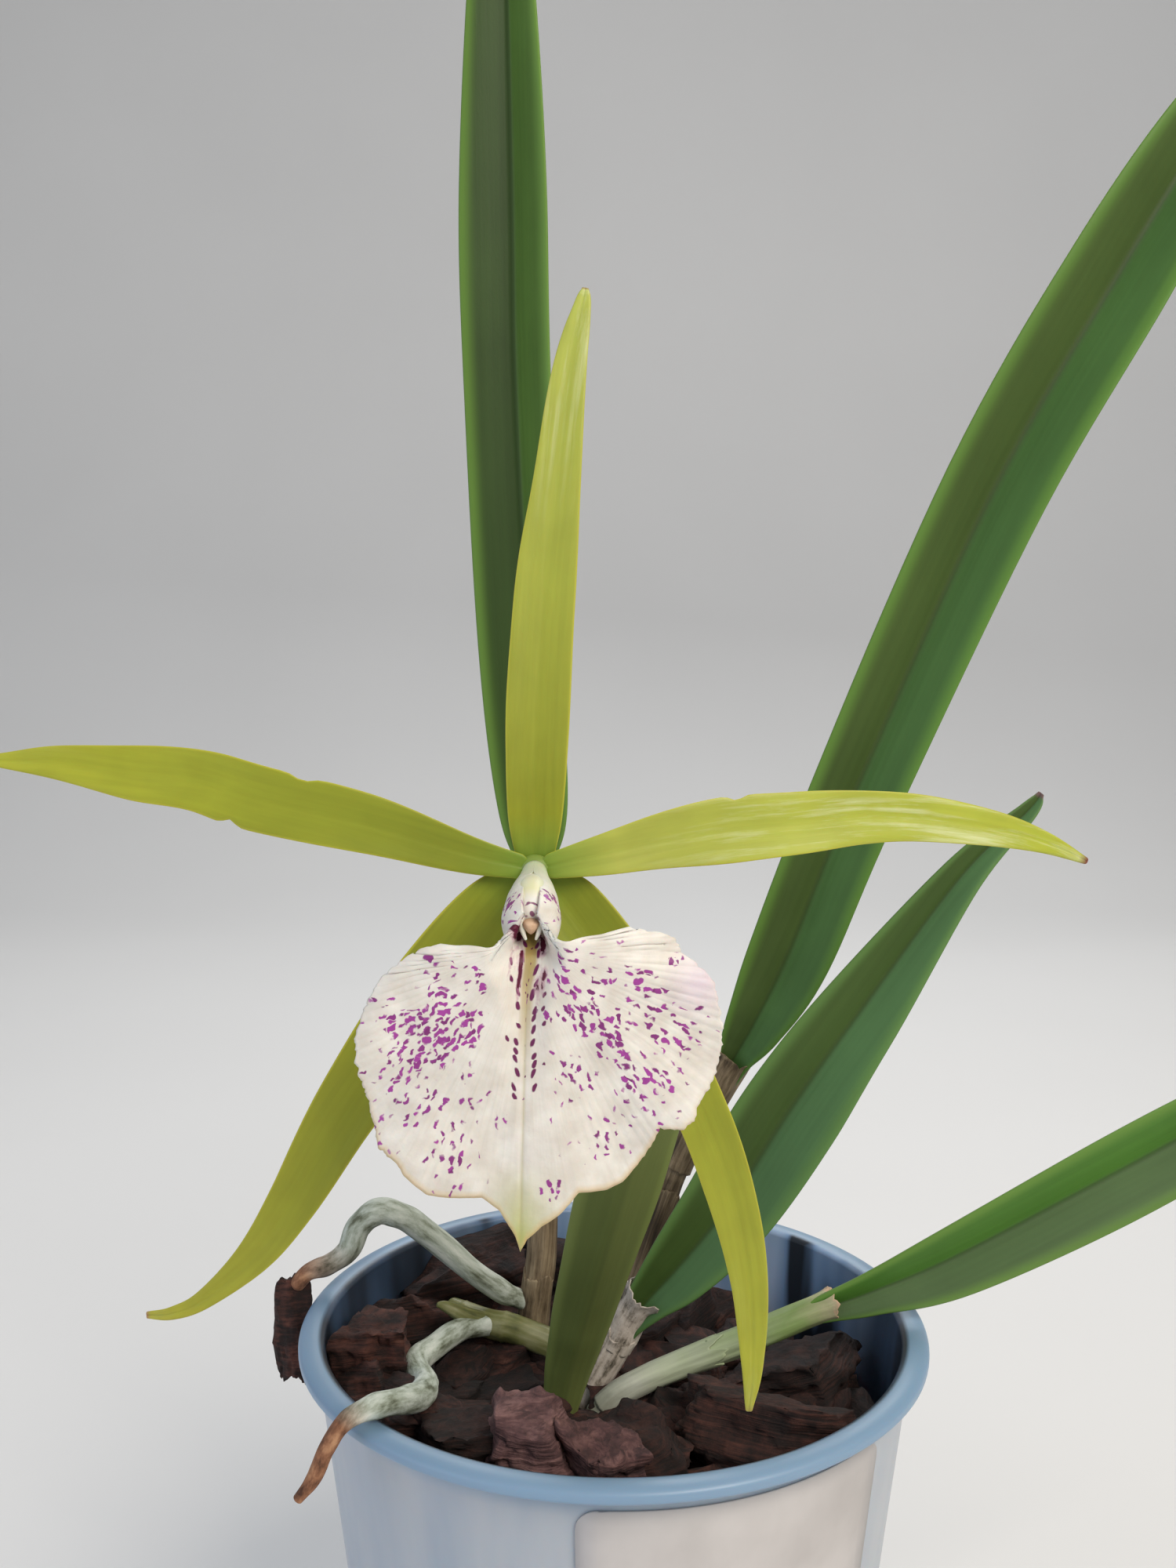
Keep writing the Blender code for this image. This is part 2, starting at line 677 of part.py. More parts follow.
def claw_point(share):
    """Point of the claw's axis, from its back end to its front end."""
    forward, _ = tilted_axes(CLAW_NOD)
    return FLOWER_CENTRE + forward * (CLAW_SET_BACK + CLAW_LENGTH * share)


def claw_radius(share):
    return CLAW_RADIUS_BACK + (CLAW_RADIUS_FRONT - CLAW_RADIUS_BACK) * share


def lip_reach(angle):
    degrees, reaches = zip(*LIP_OUTLINE)
    return float(np.interp(math.degrees(angle), degrees, reaches))


def outward(angle, up):
    """Direction away from the axis, at an angle from straight down."""
    return Vector((math.sin(angle), 0, 0)) - up * math.cos(angle)


def lip_point(along, side):
    """Point of the lip's middle surface: along runs from the claw's back end to the blade's edge."""
    claw_forward, claw_up = tilted_axes(CLAW_NOD)
    if along < CLAW_SHARE:
        share = along / CLAW_SHARE
        return claw_point(share) + outward(side * CLAW_WRAP, claw_up) * claw_radius(share)
    share = (along - CLAW_SHARE) / (1 - CLAW_SHARE)
    opening = min(1.0, share / THROAT_SHARE)
    wrap = LIP_WRAP_RIGHT if side > 0 else LIP_WRAP_LEFT
    angle = side * (CLAW_WRAP + (wrap - CLAW_WRAP) * opening)
    out = (lip_reach(side * wrap) - CLAW_RADIUS_FRONT) * share
    turn = min(out / THROAT_FILLET, 1.0)
    rise = THROAT_FILLET * math.sqrt(1 - (1 - turn) ** 2)
    groove = math.exp(-((out * math.sin(angle) / GROOVE_WIDTH) ** 2)) * (1 - share) * opening
    droop = LIP_DROOP * (share * math.sin(angle)) ** 2
    ripple = RIPPLE_HEIGHT * share**3 * math.sin(angle * RIPPLE_COUNT)
    face, up = tilted_axes(CLAW_NOD + (BLADE_TILT - CLAW_NOD) * opening)
    away = outward(angle + BLADE_LEAN * opening, up) * (CLAW_RADIUS_FRONT + out)
    return claw_point(1) + claw_forward * rise + face * (ripple - droop - GROOVE_DEPTH * groove) + away


def lip(mat, group):
    bm = bmesh.new()
    bmesh.ops.create_grid(bm, x_segments=LIP_ROWS, y_segments=LIP_SECTORS, size=0.5)
    for vert in bm.verts:
        vert.co = lip_point(vert.co.x + 0.5, 2 * vert.co.y)
    bmesh.ops.triangulate(bm, faces=bm.faces)
    obj = add_object("lip", mesh_from("lip", bm), mat, group)
    obj.data.shade_smooth()
    solidify = obj.modifiers.new("Solidify", "SOLIDIFY")
    solidify.thickness = LIP_THICKNESS
    solidify.offset = 0
    return obj


def column_and_cap(materials, group):
    """Column that lies in the claw, and the anther cap at its end."""
    forward, up = tilted_axes(CLAW_NOD)
    stations = []
    for share in (0.0, COLUMN_REACH / 2, COLUMN_REACH):
        room = claw_radius(share) - LIP_THICKNESS / 2 - GAP
        middle = claw_point(share) + up * COLUMN_RISE * room
        stations.append((*middle, COLUMN_RADIUS * room))
    tube("column", stations, 8, materials["lip"], group)
    bm = bmesh.new()
    bmesh.ops.create_uvsphere(bm, u_segments=10, v_segments=6, radius=CAP_RADIUS)
    end = Vector(stations[-1][:3])
    bmesh.ops.translate(bm, verts=bm.verts, vec=end + forward * (CAP_RADIUS + GAP))
    cap = add_object("anther_cap", mesh_from("anther_cap", bm), materials["anther"], group)
    cap.data.shade_smooth()


def build():
    clear_scene()
    parts = collection("Potted cattleya orchid")
    drains = collection("cutters_drain")
    holes = collection("cutters_bark")
    materials = {
        "pot": material("milky_plastic", (0.36, 0.47, 0.56), 0.35),
        "label": material("label_paper", (0.62, 0.60, 0.58), 0.6),
        "bark": material("pine_bark", (0.10, 0.045, 0.035), 0.9),
        "dry_sheath": material("dry_sheath", (0.26, 0.17, 0.11), 0.8),
        "pale_sheath": material("pale_sheath", (0.42, 0.46, 0.38), 0.8),
        "green_stem": material("green_stem", (0.20, 0.24, 0.10), 0.6),
        "root": material("root_velamen", (0.45, 0.52, 0.46), 0.85),
        "leaf": material("leaf", (0.06, 0.12, 0.04), 0.5),
        "tepal": material("tepal", (0.40, 0.42, 0.03), 0.5),
        "lip": material("lip_petal", (0.80, 0.79, 0.70), 0.5),
        "anther": material("anther_cap", (0.45, 0.25, 0.08), 0.6),
    }
    pot(materials["pot"], parts, drains)
    label(materials["label"], parts)
    stems_and_roots(materials, parts, holes)
    bark_fill(materials["bark"], parts, holes)
    bark_on_root(materials["bark"], parts)
    leaves(materials["leaf"], parts)
    tube("flower_stalk", FLOWER_STALK, 18, materials["green_stem"], parts)
    tepals(materials["tepal"], parts)
    lip(materials["lip"], parts)
    column_and_cap(materials, parts)


build()
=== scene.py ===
"""Looks of a potted cattleya orchid in flower. Metres, +Z up, with the flower towards -Y. Tables of
places and outlines are in mm, as their comments or in_metres say."""

import math
import random
from functools import partial

import bmesh
import bpy
from mathutils import Matrix, Vector, noise


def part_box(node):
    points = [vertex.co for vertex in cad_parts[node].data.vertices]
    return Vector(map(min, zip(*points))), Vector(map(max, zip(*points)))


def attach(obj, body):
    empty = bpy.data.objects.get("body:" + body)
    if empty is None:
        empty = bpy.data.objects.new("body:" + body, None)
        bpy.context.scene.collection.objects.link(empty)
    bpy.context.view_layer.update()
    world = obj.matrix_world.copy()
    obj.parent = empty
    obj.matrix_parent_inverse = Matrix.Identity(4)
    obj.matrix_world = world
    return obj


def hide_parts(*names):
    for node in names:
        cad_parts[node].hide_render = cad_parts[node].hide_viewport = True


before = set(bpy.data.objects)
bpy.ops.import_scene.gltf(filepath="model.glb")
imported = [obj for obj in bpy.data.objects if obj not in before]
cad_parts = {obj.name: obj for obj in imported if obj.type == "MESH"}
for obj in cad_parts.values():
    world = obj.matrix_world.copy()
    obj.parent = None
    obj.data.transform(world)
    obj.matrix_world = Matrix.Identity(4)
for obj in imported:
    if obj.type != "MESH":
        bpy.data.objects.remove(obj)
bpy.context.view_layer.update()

# The pot: a thin orchid pot, injection moulded in milky blue polypropylene, with a rolled rim.
# It tapers to a flat base with six drain holes on a circle, and stands on the surface.
POT_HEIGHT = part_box("pot")[1][2]
RIM_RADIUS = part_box("pot")[1][0]
RIM_DEPTH = 0.0035
RIM_DOME = 0.0011
RIM_LIP = 0.0006
RIM_FILLET = 0.0015
RIM_DROP = 0.0004
RIM_TINT_START = 0.0060
RIM_TINT_FULL = 0.0018
WALL_RADIUS_TOP = 0.0494
BASE_RADIUS = 0.038
BASE_ROUND = 0.001
WALL = 0.0013
FLOOR = 0.002
FLOOR_ROUND = 0.0015
POT_SEGMENTS = 128
DRAIN_HOLES = 6
DRAIN_RADIUS = 0.004
DRAIN_CIRCLE = 0.024
MERGE = 0.00001
MM = 1000


def linear(colour):
    """Turns an sRGB hex colour into the linear one that shaders take."""
    channels = [int(colour[place : place + 2], 16) / 255 for place in (1, 3, 5)]
    return (*(c / 12.92 if c <= 0.04045 else ((c + 0.055) / 1.055) ** 2.4 for c in channels), 1)


def plug(tree, socket, value):
    """Gives a socket its value or hex colour, or links a socket or a node's first live output to it."""
    if isinstance(value, str):
        value = linear(value)
    if isinstance(value, bpy.types.Node):
        value = next(s for s in value.outputs if s.enabled)
    if isinstance(value, bpy.types.NodeSocket):
        tree.links.new(value, socket)
    else:
        socket.default_value = value


def add_node(tree, kind, *values, stops=(), **named):
    """Adds a shader node. Values go to its live inputs in their order, or by a name with a capital.
    Other names are its settings, and stops are a ramp's."""
    made = tree.nodes.new("ShaderNode" + kind)
    for name, value in named.items():
        if name.islower():
            setattr(made, name, value)
    live = [s for s in made.inputs if s.enabled]
    for socket, value in zip(live, values):
        plug(tree, socket, value)
    for socket in live:
        if socket.name.replace(" ", "_") in named:
            plug(tree, socket, named[socket.name.replace(" ", "_")])
    for index, (place, colour) in enumerate(stops):
        ramp = made.color_ramp.elements
        stop = ramp[index] if index < 2 else ramp.new(place)
        stop.position = place
        stop.color = linear(colour)
    return made


def dress(material, **values):
    """Gives the material's Principled shader its values, or links what drives them."""
    shader = material.node_tree.nodes["Principled BSDF"]
    for name, value in values.items():
        plug(material.node_tree, shader.inputs[name.replace("_", " ")], value)


def finish_named(name, roughness, **values):
    """Starts a material, and comes with the function that adds nodes to its tree."""
    made = bpy.data.materials.new(name)
    made.use_nodes = True
    dress(made, Roughness=roughness, **values)
    return made, partial(add_node, made.node_tree)


def lay_over(add, tone, *layers):
    """Lays colours over a tone one after another, each by its own amount."""
    for amount, colour in layers:
        tone = add("Mix", amount, tone, colour, data_type="RGBA")
    return tone


def smooth_object(name, bm, *finishes):
    mesh = bpy.data.meshes.new(name)
    bm.to_mesh(mesh)
    bm.free()
    mesh.shade_smooth()
    for finish in finishes:
        mesh.materials.append(finish)
    made = bpy.data.objects.new(name, mesh)
    bpy.context.scene.collection.objects.link(made)
    return made


def add_piece(name, bm, finishes, node=None, thickness=None):
    """Makes a piece of the mesh, gives a sheet its thickness, rides it on the plant's body and hides
    the node that it stands for."""
    piece = smooth_object(name, bm, *finishes)
    if thickness:
        sheet = piece.modifiers.new("Sheet", "SOLIDIFY")
        sheet.thickness = thickness
        sheet.offset = 0
    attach(piece, "root")
    if node:
        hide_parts(node)


def wall_radius(height):
    """Outer radius of the pot's tapering wall."""
    share = height / (POT_HEIGHT - RIM_DEPTH)
    return BASE_RADIUS + (WALL_RADIUS_TOP - BASE_RADIUS) * share


def arc(centre, radii, start, end, steps):
    """Points of an elliptic arc in the profile's plane, from one angle to another in degrees."""
    found = []
    for index in range(steps + 1):
        angle = math.radians(start + (end - start) * index / steps)
        found.append((centre[0] + radii[0] * math.cos(angle), centre[1] + radii[1] * math.sin(angle)))
    return found


def pot_profile():
    """Radius and height of points from the foot up the outer wall, over the rim and down inside."""
    under_rim = POT_HEIGHT - RIM_DEPTH
    mouth = wall_radius(under_rim) - WALL
    dome_base = POT_HEIGHT - RIM_DOME
    fillet = RIM_RADIUS - RIM_LIP - WALL_RADIUS_TOP
    inner_foot = wall_radius(FLOOR) - WALL
    points = arc((BASE_RADIUS - BASE_ROUND, BASE_ROUND), (BASE_ROUND, BASE_ROUND), -90, 0, 4)
    for share in (0.2, 0.4, 0.6, 0.8):
        points.append((wall_radius(under_rim * share), under_rim * share))
    points += arc((WALL_RADIUS_TOP + fillet, under_rim - RIM_DROP), (fillet, RIM_FILLET), 180, 90, 6)
    points += arc((RIM_RADIUS - RIM_LIP, dome_base - RIM_LIP), (RIM_LIP, RIM_LIP), -90, 0, 4)
    points += arc(((RIM_RADIUS + mouth) / 2, dome_base), ((RIM_RADIUS - mouth) / 2, RIM_DOME), 0, 180, 14)
    for share in (0.85, 0.6, 0.35):
        points.append((wall_radius(under_rim * share) - WALL, under_rim * share))
    points += arc((inner_foot - FLOOR_ROUND, FLOOR + FLOOR_ROUND), (FLOOR_ROUND, FLOOR_ROUND), 0, -90, 4)
    return points


def pot_mesh():
    bm = bmesh.new()
    bmesh.ops.create_circle(bm, segments=POT_SEGMENTS, radius=BASE_RADIUS - BASE_ROUND)
    for index in range(DRAIN_HOLES):
        angle = math.tau * (index + 0.5) / DRAIN_HOLES
        place = Vector((DRAIN_CIRCLE * math.cos(angle), DRAIN_CIRCLE * math.sin(angle), 0))
        bmesh.ops.create_circle(bm, segments=24, radius=DRAIN_RADIUS, matrix=Matrix.Translation(place))
    bmesh.ops.triangle_fill(bm, use_beauty=True, edges=bm.edges[:])
    raised = bmesh.ops.extrude_face_region(bm, geom=bm.faces[:])["geom"]
    raised = [v for v in raised if isinstance(v, bmesh.types.BMVert)]
    bmesh.ops.translate(bm, verts=raised, vec=(0, 0, FLOOR))
    rim = BASE_RADIUS - BASE_ROUND - MERGE
    outer = [v for v in raised if math.hypot(v.co.x, v.co.y) > rim]
    sides = [f for f in bm.faces if all(math.hypot(v.co.x, v.co.y) > rim for v in f.verts)]
    bmesh.ops.delete(bm, geom=sides, context="FACES_ONLY")
    narrower = (wall_radius(FLOOR) - WALL - FLOOR_ROUND) / (BASE_RADIUS - BASE_ROUND)
    bmesh.ops.scale(bm, verts=outer, vec=(narrower, narrower, 1))
    profile = [bm.verts.new((radius, 0, height)) for radius, height in pot_profile()]
    edges = [bm.edges.new(pair) for pair in zip(profile, profile[1:])]
    bmesh.ops.spin(bm, geom=profile + edges, cent=(0, 0, 0), axis=(0, 0, 1), angle=math.tau,
                   steps=POT_SEGMENTS, use_merge=True)
    bmesh.ops.remove_doubles(bm, verts=bm.verts, dist=MERGE)
    bmesh.ops.recalc_face_normals(bm, faces=bm.faces)
    return bm


# Moulded polypropylene: milky, satin, a little see-through, bluer where the plastic is thick.
pot_plastic, add = finish_named("moulded_polypropylene", 0.36, IOR=1.49, Subsurface_Weight=0.18,
                                Subsurface_Scale=0.004)
place = add("TexCoord").outputs["Object"]
height = add("SeparateXYZ", place).outputs["Z"]
radius = add("VectorMath", add("VectorMath", place, (1, 1, 0), operation="MULTIPLY"), operation="LENGTH")
wall_here = add("MapRange", height, 0, POT_HEIGHT - RIM_DEPTH, BASE_RADIUS, WALL_RADIUS_TOP, clamp=False)
depth = add("Math", wall_here, radius, operation="SUBTRACT")
inside = add("MapRange", depth, 0.3 * WALL, 0.8 * WALL)
rim_here = add("MapRange", height, POT_HEIGHT - RIM_TINT_START, POT_HEIGHT - RIM_TINT_FULL)
stretched = add("Mapping", place, Scale=(1, 1, 0.15))
flow = add("TexNoise", stretched, 60, 4)
wall_tone = add("ValToRGB", flow, stops=[(0.35, "#9FABB9"), (0.62, "#B6BBC1")])
# Inside, the wall is painted dark as shade, and mottled lighter as painted light towards the back right.
inner_mottle = add("TexNoise", stretched, 75, 2)
lit_side = add("VectorMath", place, (0.3, 0.95, 0), operation="DOT_PRODUCT")
inner_shade_tone = add("ValToRGB", inner_mottle, stops=[(0.36, "#1A212A"), (0.50, "#323E4E"), (0.62, "#465A74")])
inner_lit_tone = add("ValToRGB", inner_mottle, stops=[(0.40, "#1E2630"), (0.47, "#7391B5"), (0.62, "#A3BAD6")])
inner_shade_and_light = lay_over(add, inner_shade_tone, (add("MapRange", lit_side, 0.022, 0.036), inner_lit_tone))
# The mould's fine texture is under 0.2 mm on the real pot; here it is 0.4 mm, so that it shows.
grain = add("TexNoise", place, MM / 0.4, 2)
# The inner wall's colour is painted shade, lifted by painted light at the back right.
dress(pot_plastic, Base_Color=lay_over(add, wall_tone, (rim_here, "#7F9DB8"), (inside, inner_shade_and_light)),
      Normal=add("Bump", 0.06, 0.0002, Height=grain),
      Roughness=add("MapRange", add("TexNoise", place, 90, 6), To_Min=0.28, To_Max=0.48))

add_piece("moulded_pot", pot_mesh(), [pot_plastic], "pot")

# The label: a paper sticker with rounded corners, printed with a thin grey frame and left bare.
# It is stuck round the front right of the wall and follows its taper.
LABEL_LEFT = math.radians(-7)
LABEL_RIGHT = math.radians(52)
LABEL_BOTTOM = 0.0363
LABEL_TOP = 0.0903
LABEL_CORNER = 0.003
LABEL_MARGIN = 0.0032
LABEL_LINE = 0.0004
LABEL_STRIPS = 32
PAPER = 0.0003
GAP = 0.0003


def label_mesh():
    bm = bmesh.new()
    middle = (LABEL_TOP + LABEL_BOTTOM) / 2
    width = (LABEL_RIGHT - LABEL_LEFT) * wall_radius(middle)
    size = Vector((width, 0, LABEL_TOP - LABEL_BOTTOM))
    bmesh.ops.create_grid(bm, x_segments=1, y_segments=1, size=0.5)
    for vert in bm.verts:
        vert.co = (vert.co.x * size.x, 0, vert.co.y * size.z + middle)
    bmesh.ops.bevel(bm, geom=bm.verts[:], affect="VERTICES", offset=LABEL_CORNER, segments=6,
                    profile=0.5, material=-1)
    sheet = bm.faces[:]
    bmesh.ops.inset_region(bm, faces=sheet, thickness=LABEL_MARGIN, use_even_offset=True)
    framed = bmesh.ops.inset_region(bm, faces=sheet, thickness=LABEL_LINE, use_even_offset=True)
    for face in framed["faces"]:
        face.material_index = 1
    for index in range(1, LABEL_STRIPS):
        cut = -size.x / 2 + size.x * index / LABEL_STRIPS
        bmesh.ops.bisect_plane(bm, geom=bm.verts[:] + bm.edges[:] + bm.faces[:], dist=1e-7,
                               plane_co=(cut, 0, 0), plane_no=(1, 0, 0))
    for vert in bm.verts:
        angle = (LABEL_LEFT + LABEL_RIGHT) / 2 + vert.co.x / wall_radius(middle)
        radius = wall_radius(vert.co.z) + GAP / 2 + PAPER / 2
        vert.co = (radius * math.sin(angle), -radius * math.cos(angle), vert.co.z)
    bmesh.ops.triangulate(bm, faces=bm.faces)
    bmesh.ops.recalc_face_normals(bm, faces=bm.faces)
    return bm


# Coated label paper: off-white, nearly even, with faint cloudy dirt from watering.
label_paper, add = finish_named("coated_label_paper", 0.5)
place = add("TexCoord").outputs["Object"]
tone = add("ValToRGB", add("TexNoise", place, 70, 5), stops=[(0.3, "#B2AEAC"), (0.6, "#C1BDBB")])
fibre = add("TexNoise", place, MM / 0.5, 3)
dress(label_paper, Base_Color=tone, Normal=add("Bump", 0.05, 0.0001, Height=fibre))


def clouded_finish(name, roughness, scale, detail, tones, **values):
    """Material whose tone drifts softly between two colours."""
    made, add = finish_named(name, roughness, **values)
    cloud = add("TexNoise", add("TexCoord").outputs["Object"], scale, detail)
    dress(made, Base_Color=add("ValToRGB", cloud, stops=tones))
    return made


# Grey printing ink on the same paper, worn in places.
label_ink = clouded_finish("printed_grey_ink", 0.5, 700, 2, [(0.4, "#8C898B"), (0.7, "#A5A1A1")])

add_piece("label_sticker", label_mesh(), [label_paper, label_ink], "label", PAPER)

# The bark: loose chips of pine bark that fill the pot, heaped and tilted, over a dark finer mass.
# Each chip broke along its layers, so its sides are stepped and its corners are cut off.
BARK_TOP = 0.080
BARK_SEED = 9
CHIP_COUNT = 70
CHIP_LENGTHS = (0.012, 0.019)
CHIP_WIDTHS = (0.008, 0.013)
CHIP_HEIGHTS = (0.005, 0.009)
CHIP_TILT = 0.45
CHIP_CUTS = 9
LARGE_CHIP_CUTS = 19
CHIP_RISE = (-0.003, 0.002)
CHIP_MARGIN = 0.005
FILL_DROP = 0.004
CHIP_PLANES = 9
CUT_REACH = (0.36, 0.5)
CUT_SHARE = 0.9
CHIP_LAYERS = 9
LAYER_STEP = 0.10
LUMP_SPREAD = 0.16
LUMP_RISE = 0.10
ROUGH_SPREAD = 0.03
ROUGH_RISE = 0.05
GOLDEN_ANGLE = math.pi * (3 - math.sqrt(5))
# The large chips, in mm: centre, size, heading and tone.
LARGE_CHIPS = [
    ((-20, -24, 84.5), (19, 15, 11), 0.35, 0.3), ((-12.5, -30, 88.5), (13.5, 12, 12), 0.10, 1.4),
    ((-3, -32, 86.2), (10, 11, 11), 0.50, 1.3), ((3.5, -27, 83.5), (16, 13, 11), 2.6, 0.2),
    ((22.5, -21.5, 85), (27, 18, 12), -0.4, 0.6), ((33, 3, 83), (22, 22, 11), 1.2, 0.2),
    ((-26.5, 32.5, 87), (28, 15, 13.5), 0.5, 0.4), ((-6, 38, 85), (20, 14, 13), 2.9, 0.1),
    ((-41.5, 1, 86.5), (12, 22, 13), 0.1, 0.9), ((-40.5, -10, 84.5), (11, 17, 13), 0.3, 0.8),
    ((-37.5, 16.5, 84), (14, 12, 11), 0.4, 0.6), ((-33, -15, 83.5), (16, 16, 12), 1.9, 0.6),
]


def bark_bmesh():
    """Empty mesh with the two layers that the bark's material reads."""
    bm = bmesh.new()
    bm.verts.layers.float.new("tone")
    bm.verts.layers.float_vector.new("chip")
    return bm


def chip_bmesh(draw, centre, size, heading, cuts, tone):
    """One chip: a cube cut off by random planes, with stepped layers and a rough surface. Its tone
    runs from dark to light brown, and past 1 to a pinkish grey."""
    bm = bark_bmesh()
    tone_layer = bm.verts.layers.float["tone"]
    chip_layer = bm.verts.layers.float_vector["chip"]
    bmesh.ops.create_cube(bm, size=1)
    bmesh.ops.subdivide_edges(bm, edges=bm.edges, cuts=cuts, use_grid_fill=True)
    turn = Matrix.Rotation(heading, 3, "Z") @ Matrix.Rotation(draw.uniform(-CHIP_TILT, CHIP_TILT), 3, "X")
    planes = []
    for index in range(CHIP_PLANES):
        normal = Vector((draw.gauss(0, 1), draw.gauss(0, 1), draw.gauss(0, 0.6))).normalized()
        planes.append((normal, draw.uniform(*CUT_REACH)))
    shift = Vector((draw.uniform(0, 90), draw.uniform(0, 90), draw.uniform(0, 90)))
    for vert in bm.verts:
        point = vert.co.copy()
        for normal, reach in planes:
            past = point.dot(normal) - reach
            if past > 0:
                point -= normal * past * CUT_SHARE
        layer = noise.noise(Vector((0.5, 0.5, point.z * CHIP_LAYERS)) + shift)
        lump = noise.noise(point * 3 + shift)
        rough = noise.noise(point * 9 + shift) + 0.5 * noise.noise(point * 21 + shift)
        point.x *= 1 + LAYER_STEP * layer + LUMP_SPREAD * lump
        point.y *= 1 + LAYER_STEP * layer + LUMP_SPREAD * lump
        point.z += LUMP_RISE * lump + ROUGH_RISE * rough
        point.x += ROUGH_SPREAD * rough
        point.y += ROUGH_SPREAD * rough
        vert[chip_layer] = point + shift
        vert[tone_layer] = tone
        vert.co = centre + turn @ Vector(a * b for a, b in zip(point, size))
    return bm


def join_into(bm, other):
    """Adds another mesh to one, with its layers."""
    held = bpy.data.meshes.new("held")
    other.to_mesh(held)
    other.free()
    bm.from_mesh(held)
    bpy.data.meshes.remove(held)


def keep_in_pot(bm):
    for vert in bm.verts:
        room = wall_radius(max(vert.co.z, FLOOR)) - WALL - GAP
        out = math.hypot(vert.co.x, vert.co.y)
        if out > room:
            vert.co.x *= room / out
            vert.co.y *= room / out


def bark_mesh():
    draw = random.Random(BARK_SEED)
    bm = bark_bmesh()
    top = BARK_TOP - FILL_DROP
    low = wall_radius(FLOOR) - WALL - FLOOR_ROUND - GAP
    high = wall_radius(top) - WALL - 2 * GAP
    bmesh.ops.create_cone(bm, cap_ends=True, segments=64, radius1=low, radius2=high,
                          depth=top - FLOOR - GAP,
                          matrix=Matrix.Translation((0, 0, (top + FLOOR + GAP) / 2)))
    reach = wall_radius(BARK_TOP) - WALL - CHIP_MARGIN
    for index in range(CHIP_COUNT):
        spread = reach * math.sqrt((index + 0.5) / CHIP_COUNT)
        angle = index * GOLDEN_ANGLE
        height = BARK_TOP + draw.uniform(*CHIP_RISE)
        centre = Vector((spread * math.cos(angle), spread * math.sin(angle), height))
        size = Vector(draw.uniform(*span) for span in (CHIP_LENGTHS, CHIP_WIDTHS, CHIP_HEIGHTS))
        chip = chip_bmesh(draw, centre, size, draw.uniform(0, math.tau), CHIP_CUTS, draw.random())
        join_into(bm, chip)
    for centre, size, heading, tone in LARGE_CHIPS:
        chip = chip_bmesh(draw, Vector(centre) / MM, Vector(size) / MM, heading, LARGE_CHIP_CUTS, tone)
        join_into(bm, chip)
    keep_in_pot(bm)
    return bm


# Pine bark, matt and fibrous: reddish brown where it is broken, and nearly black in its cracks.
pine_bark, add = finish_named("broken_pine_bark", 0.88)
own_place = add("Attribute", attribute_name="chip").outputs["Vector"]
tone = add("Attribute", attribute_name="tone").outputs["Fac"]
layers = add("TexNoise", add("Mapping", own_place, Scale=(2, 2, 26)), 1, 6, 0.6)
blotch = add("TexNoise", add("TexCoord").outputs["Object"], 230, 8, 0.65)
mixed = add("Mix", 0.5, layers, blotch)
brown = add("ValToRGB", mixed, stops=[(0.32, "#0D0706"), (0.45, "#2A1712"), (0.53, "#4A2A22"),
                                      (0.62, "#673D31"), (0.76, "#8A5F50")])
greyer = add("ValToRGB", mixed, stops=[(0.34, "#2E1F20"), (0.50, "#66494A"), (0.66, "#9C7B78")])
blushed = lay_over(add, brown, (add("MapRange", tone, 1, 1.5, To_Max=0.85), greyer))
level = add("MapRange", tone, From_Max=1.4, To_Min=0.2, To_Max=1.12)
dress(pine_bark, Base_Color=add("HueSaturation", Color=blushed, Value=level),
      Normal=add("Bump", 0.9, 0.0012, Height=mixed))

add_piece("bark_chips", bark_mesh(), [pine_bark], "bark_fill")

# One chip that the arching root lifted over the rim, and holds outside the pot.
ROOT_CHIP = (Vector((-56.6, 9.6, 88.2)) / MM, Vector((6.4, 8.5, 16.5)) / MM)
root_chip = chip_bmesh(random.Random(BARK_SEED + 4), *ROOT_CHIP, 0.2, LARGE_CHIP_CUTS, 0.9)
add_piece("chip_on_root", root_chip, [pine_bark], "bark_on_root")

# The stems: slender pseudobulbs and the creeping rhizome that they rise from, all green tissue.
# Their feet go down among the chips. Each is given by stations: place and radius along its middle.


def in_metres(rows, origin=(0, 0, 0)):
    """Stations in metres, of rows in mm that are measured from the origin."""
    return [tuple(start + value / MM for start, value in zip((*origin, 0), row)) for row in rows]


CANE_UPRIGHT = in_metres([
    (-14.6, 19.7, 74, 2.4), (-14.2, 19.7, 86, 2.5), (-12.5, 20.3, 103, 2.3), (-13.1, 23, 140, 2.4),
    (-13.9, 25.8, 166.4, 2.6),
])
CANE_LONG_RIGHT = in_metres([
    (1, 22.8, 74, 2.4), (3.4, 22.8, 86, 2.4), (10, 23, 106, 2.3), (14.5, 23.7, 116.8, 2.4),
    (21.5, 24, 131, 3.2),
])
CANE_MID_RIGHT = in_metres([
    (-6.2, 2, 74.5, 2.2), (-3, 1, 83, 2.5), (0.8, 0.2, 90.5, 2.6), (4, -0.8, 96.5, 2.4),
])
CANE_LOW_RIGHT = in_metres([
    (-4, -5, 79, 1.8), (2, -4.6, 83.8, 1.8), (11, -3.2, 87.4, 1.9), (22.2, -3, 91.8, 2),
    (34.5, -2.1, 96.6, 2),
])
CANE_FRONT = in_metres([
    (-9.5, -5.6, 74, 1.8), (-9, -5.6, 79, 1.7), (-8.4, -5.8, 84, 1.5),
])
RHIZOME = in_metres([
    (-30, 19.2, 88, 1.3), (-26.8, 17.6, 86.8, 2), (-22.2, 15.2, 86, 2.5), (-17, 14, 85.2, 2.6),
    (-9, 13, 82, 2.6), (-2, 11, 77, 2.4),
])
RHIZOME_BUD = in_metres([
    (-22.5, 15, 86.2, 1.7), (-26.2, 12.8, 88.6, 1.5), (-29.6, 11.5, 90.8, 1), (-31.2, 11, 91.4, 0.4),
])
END_CROWDING = 0.8
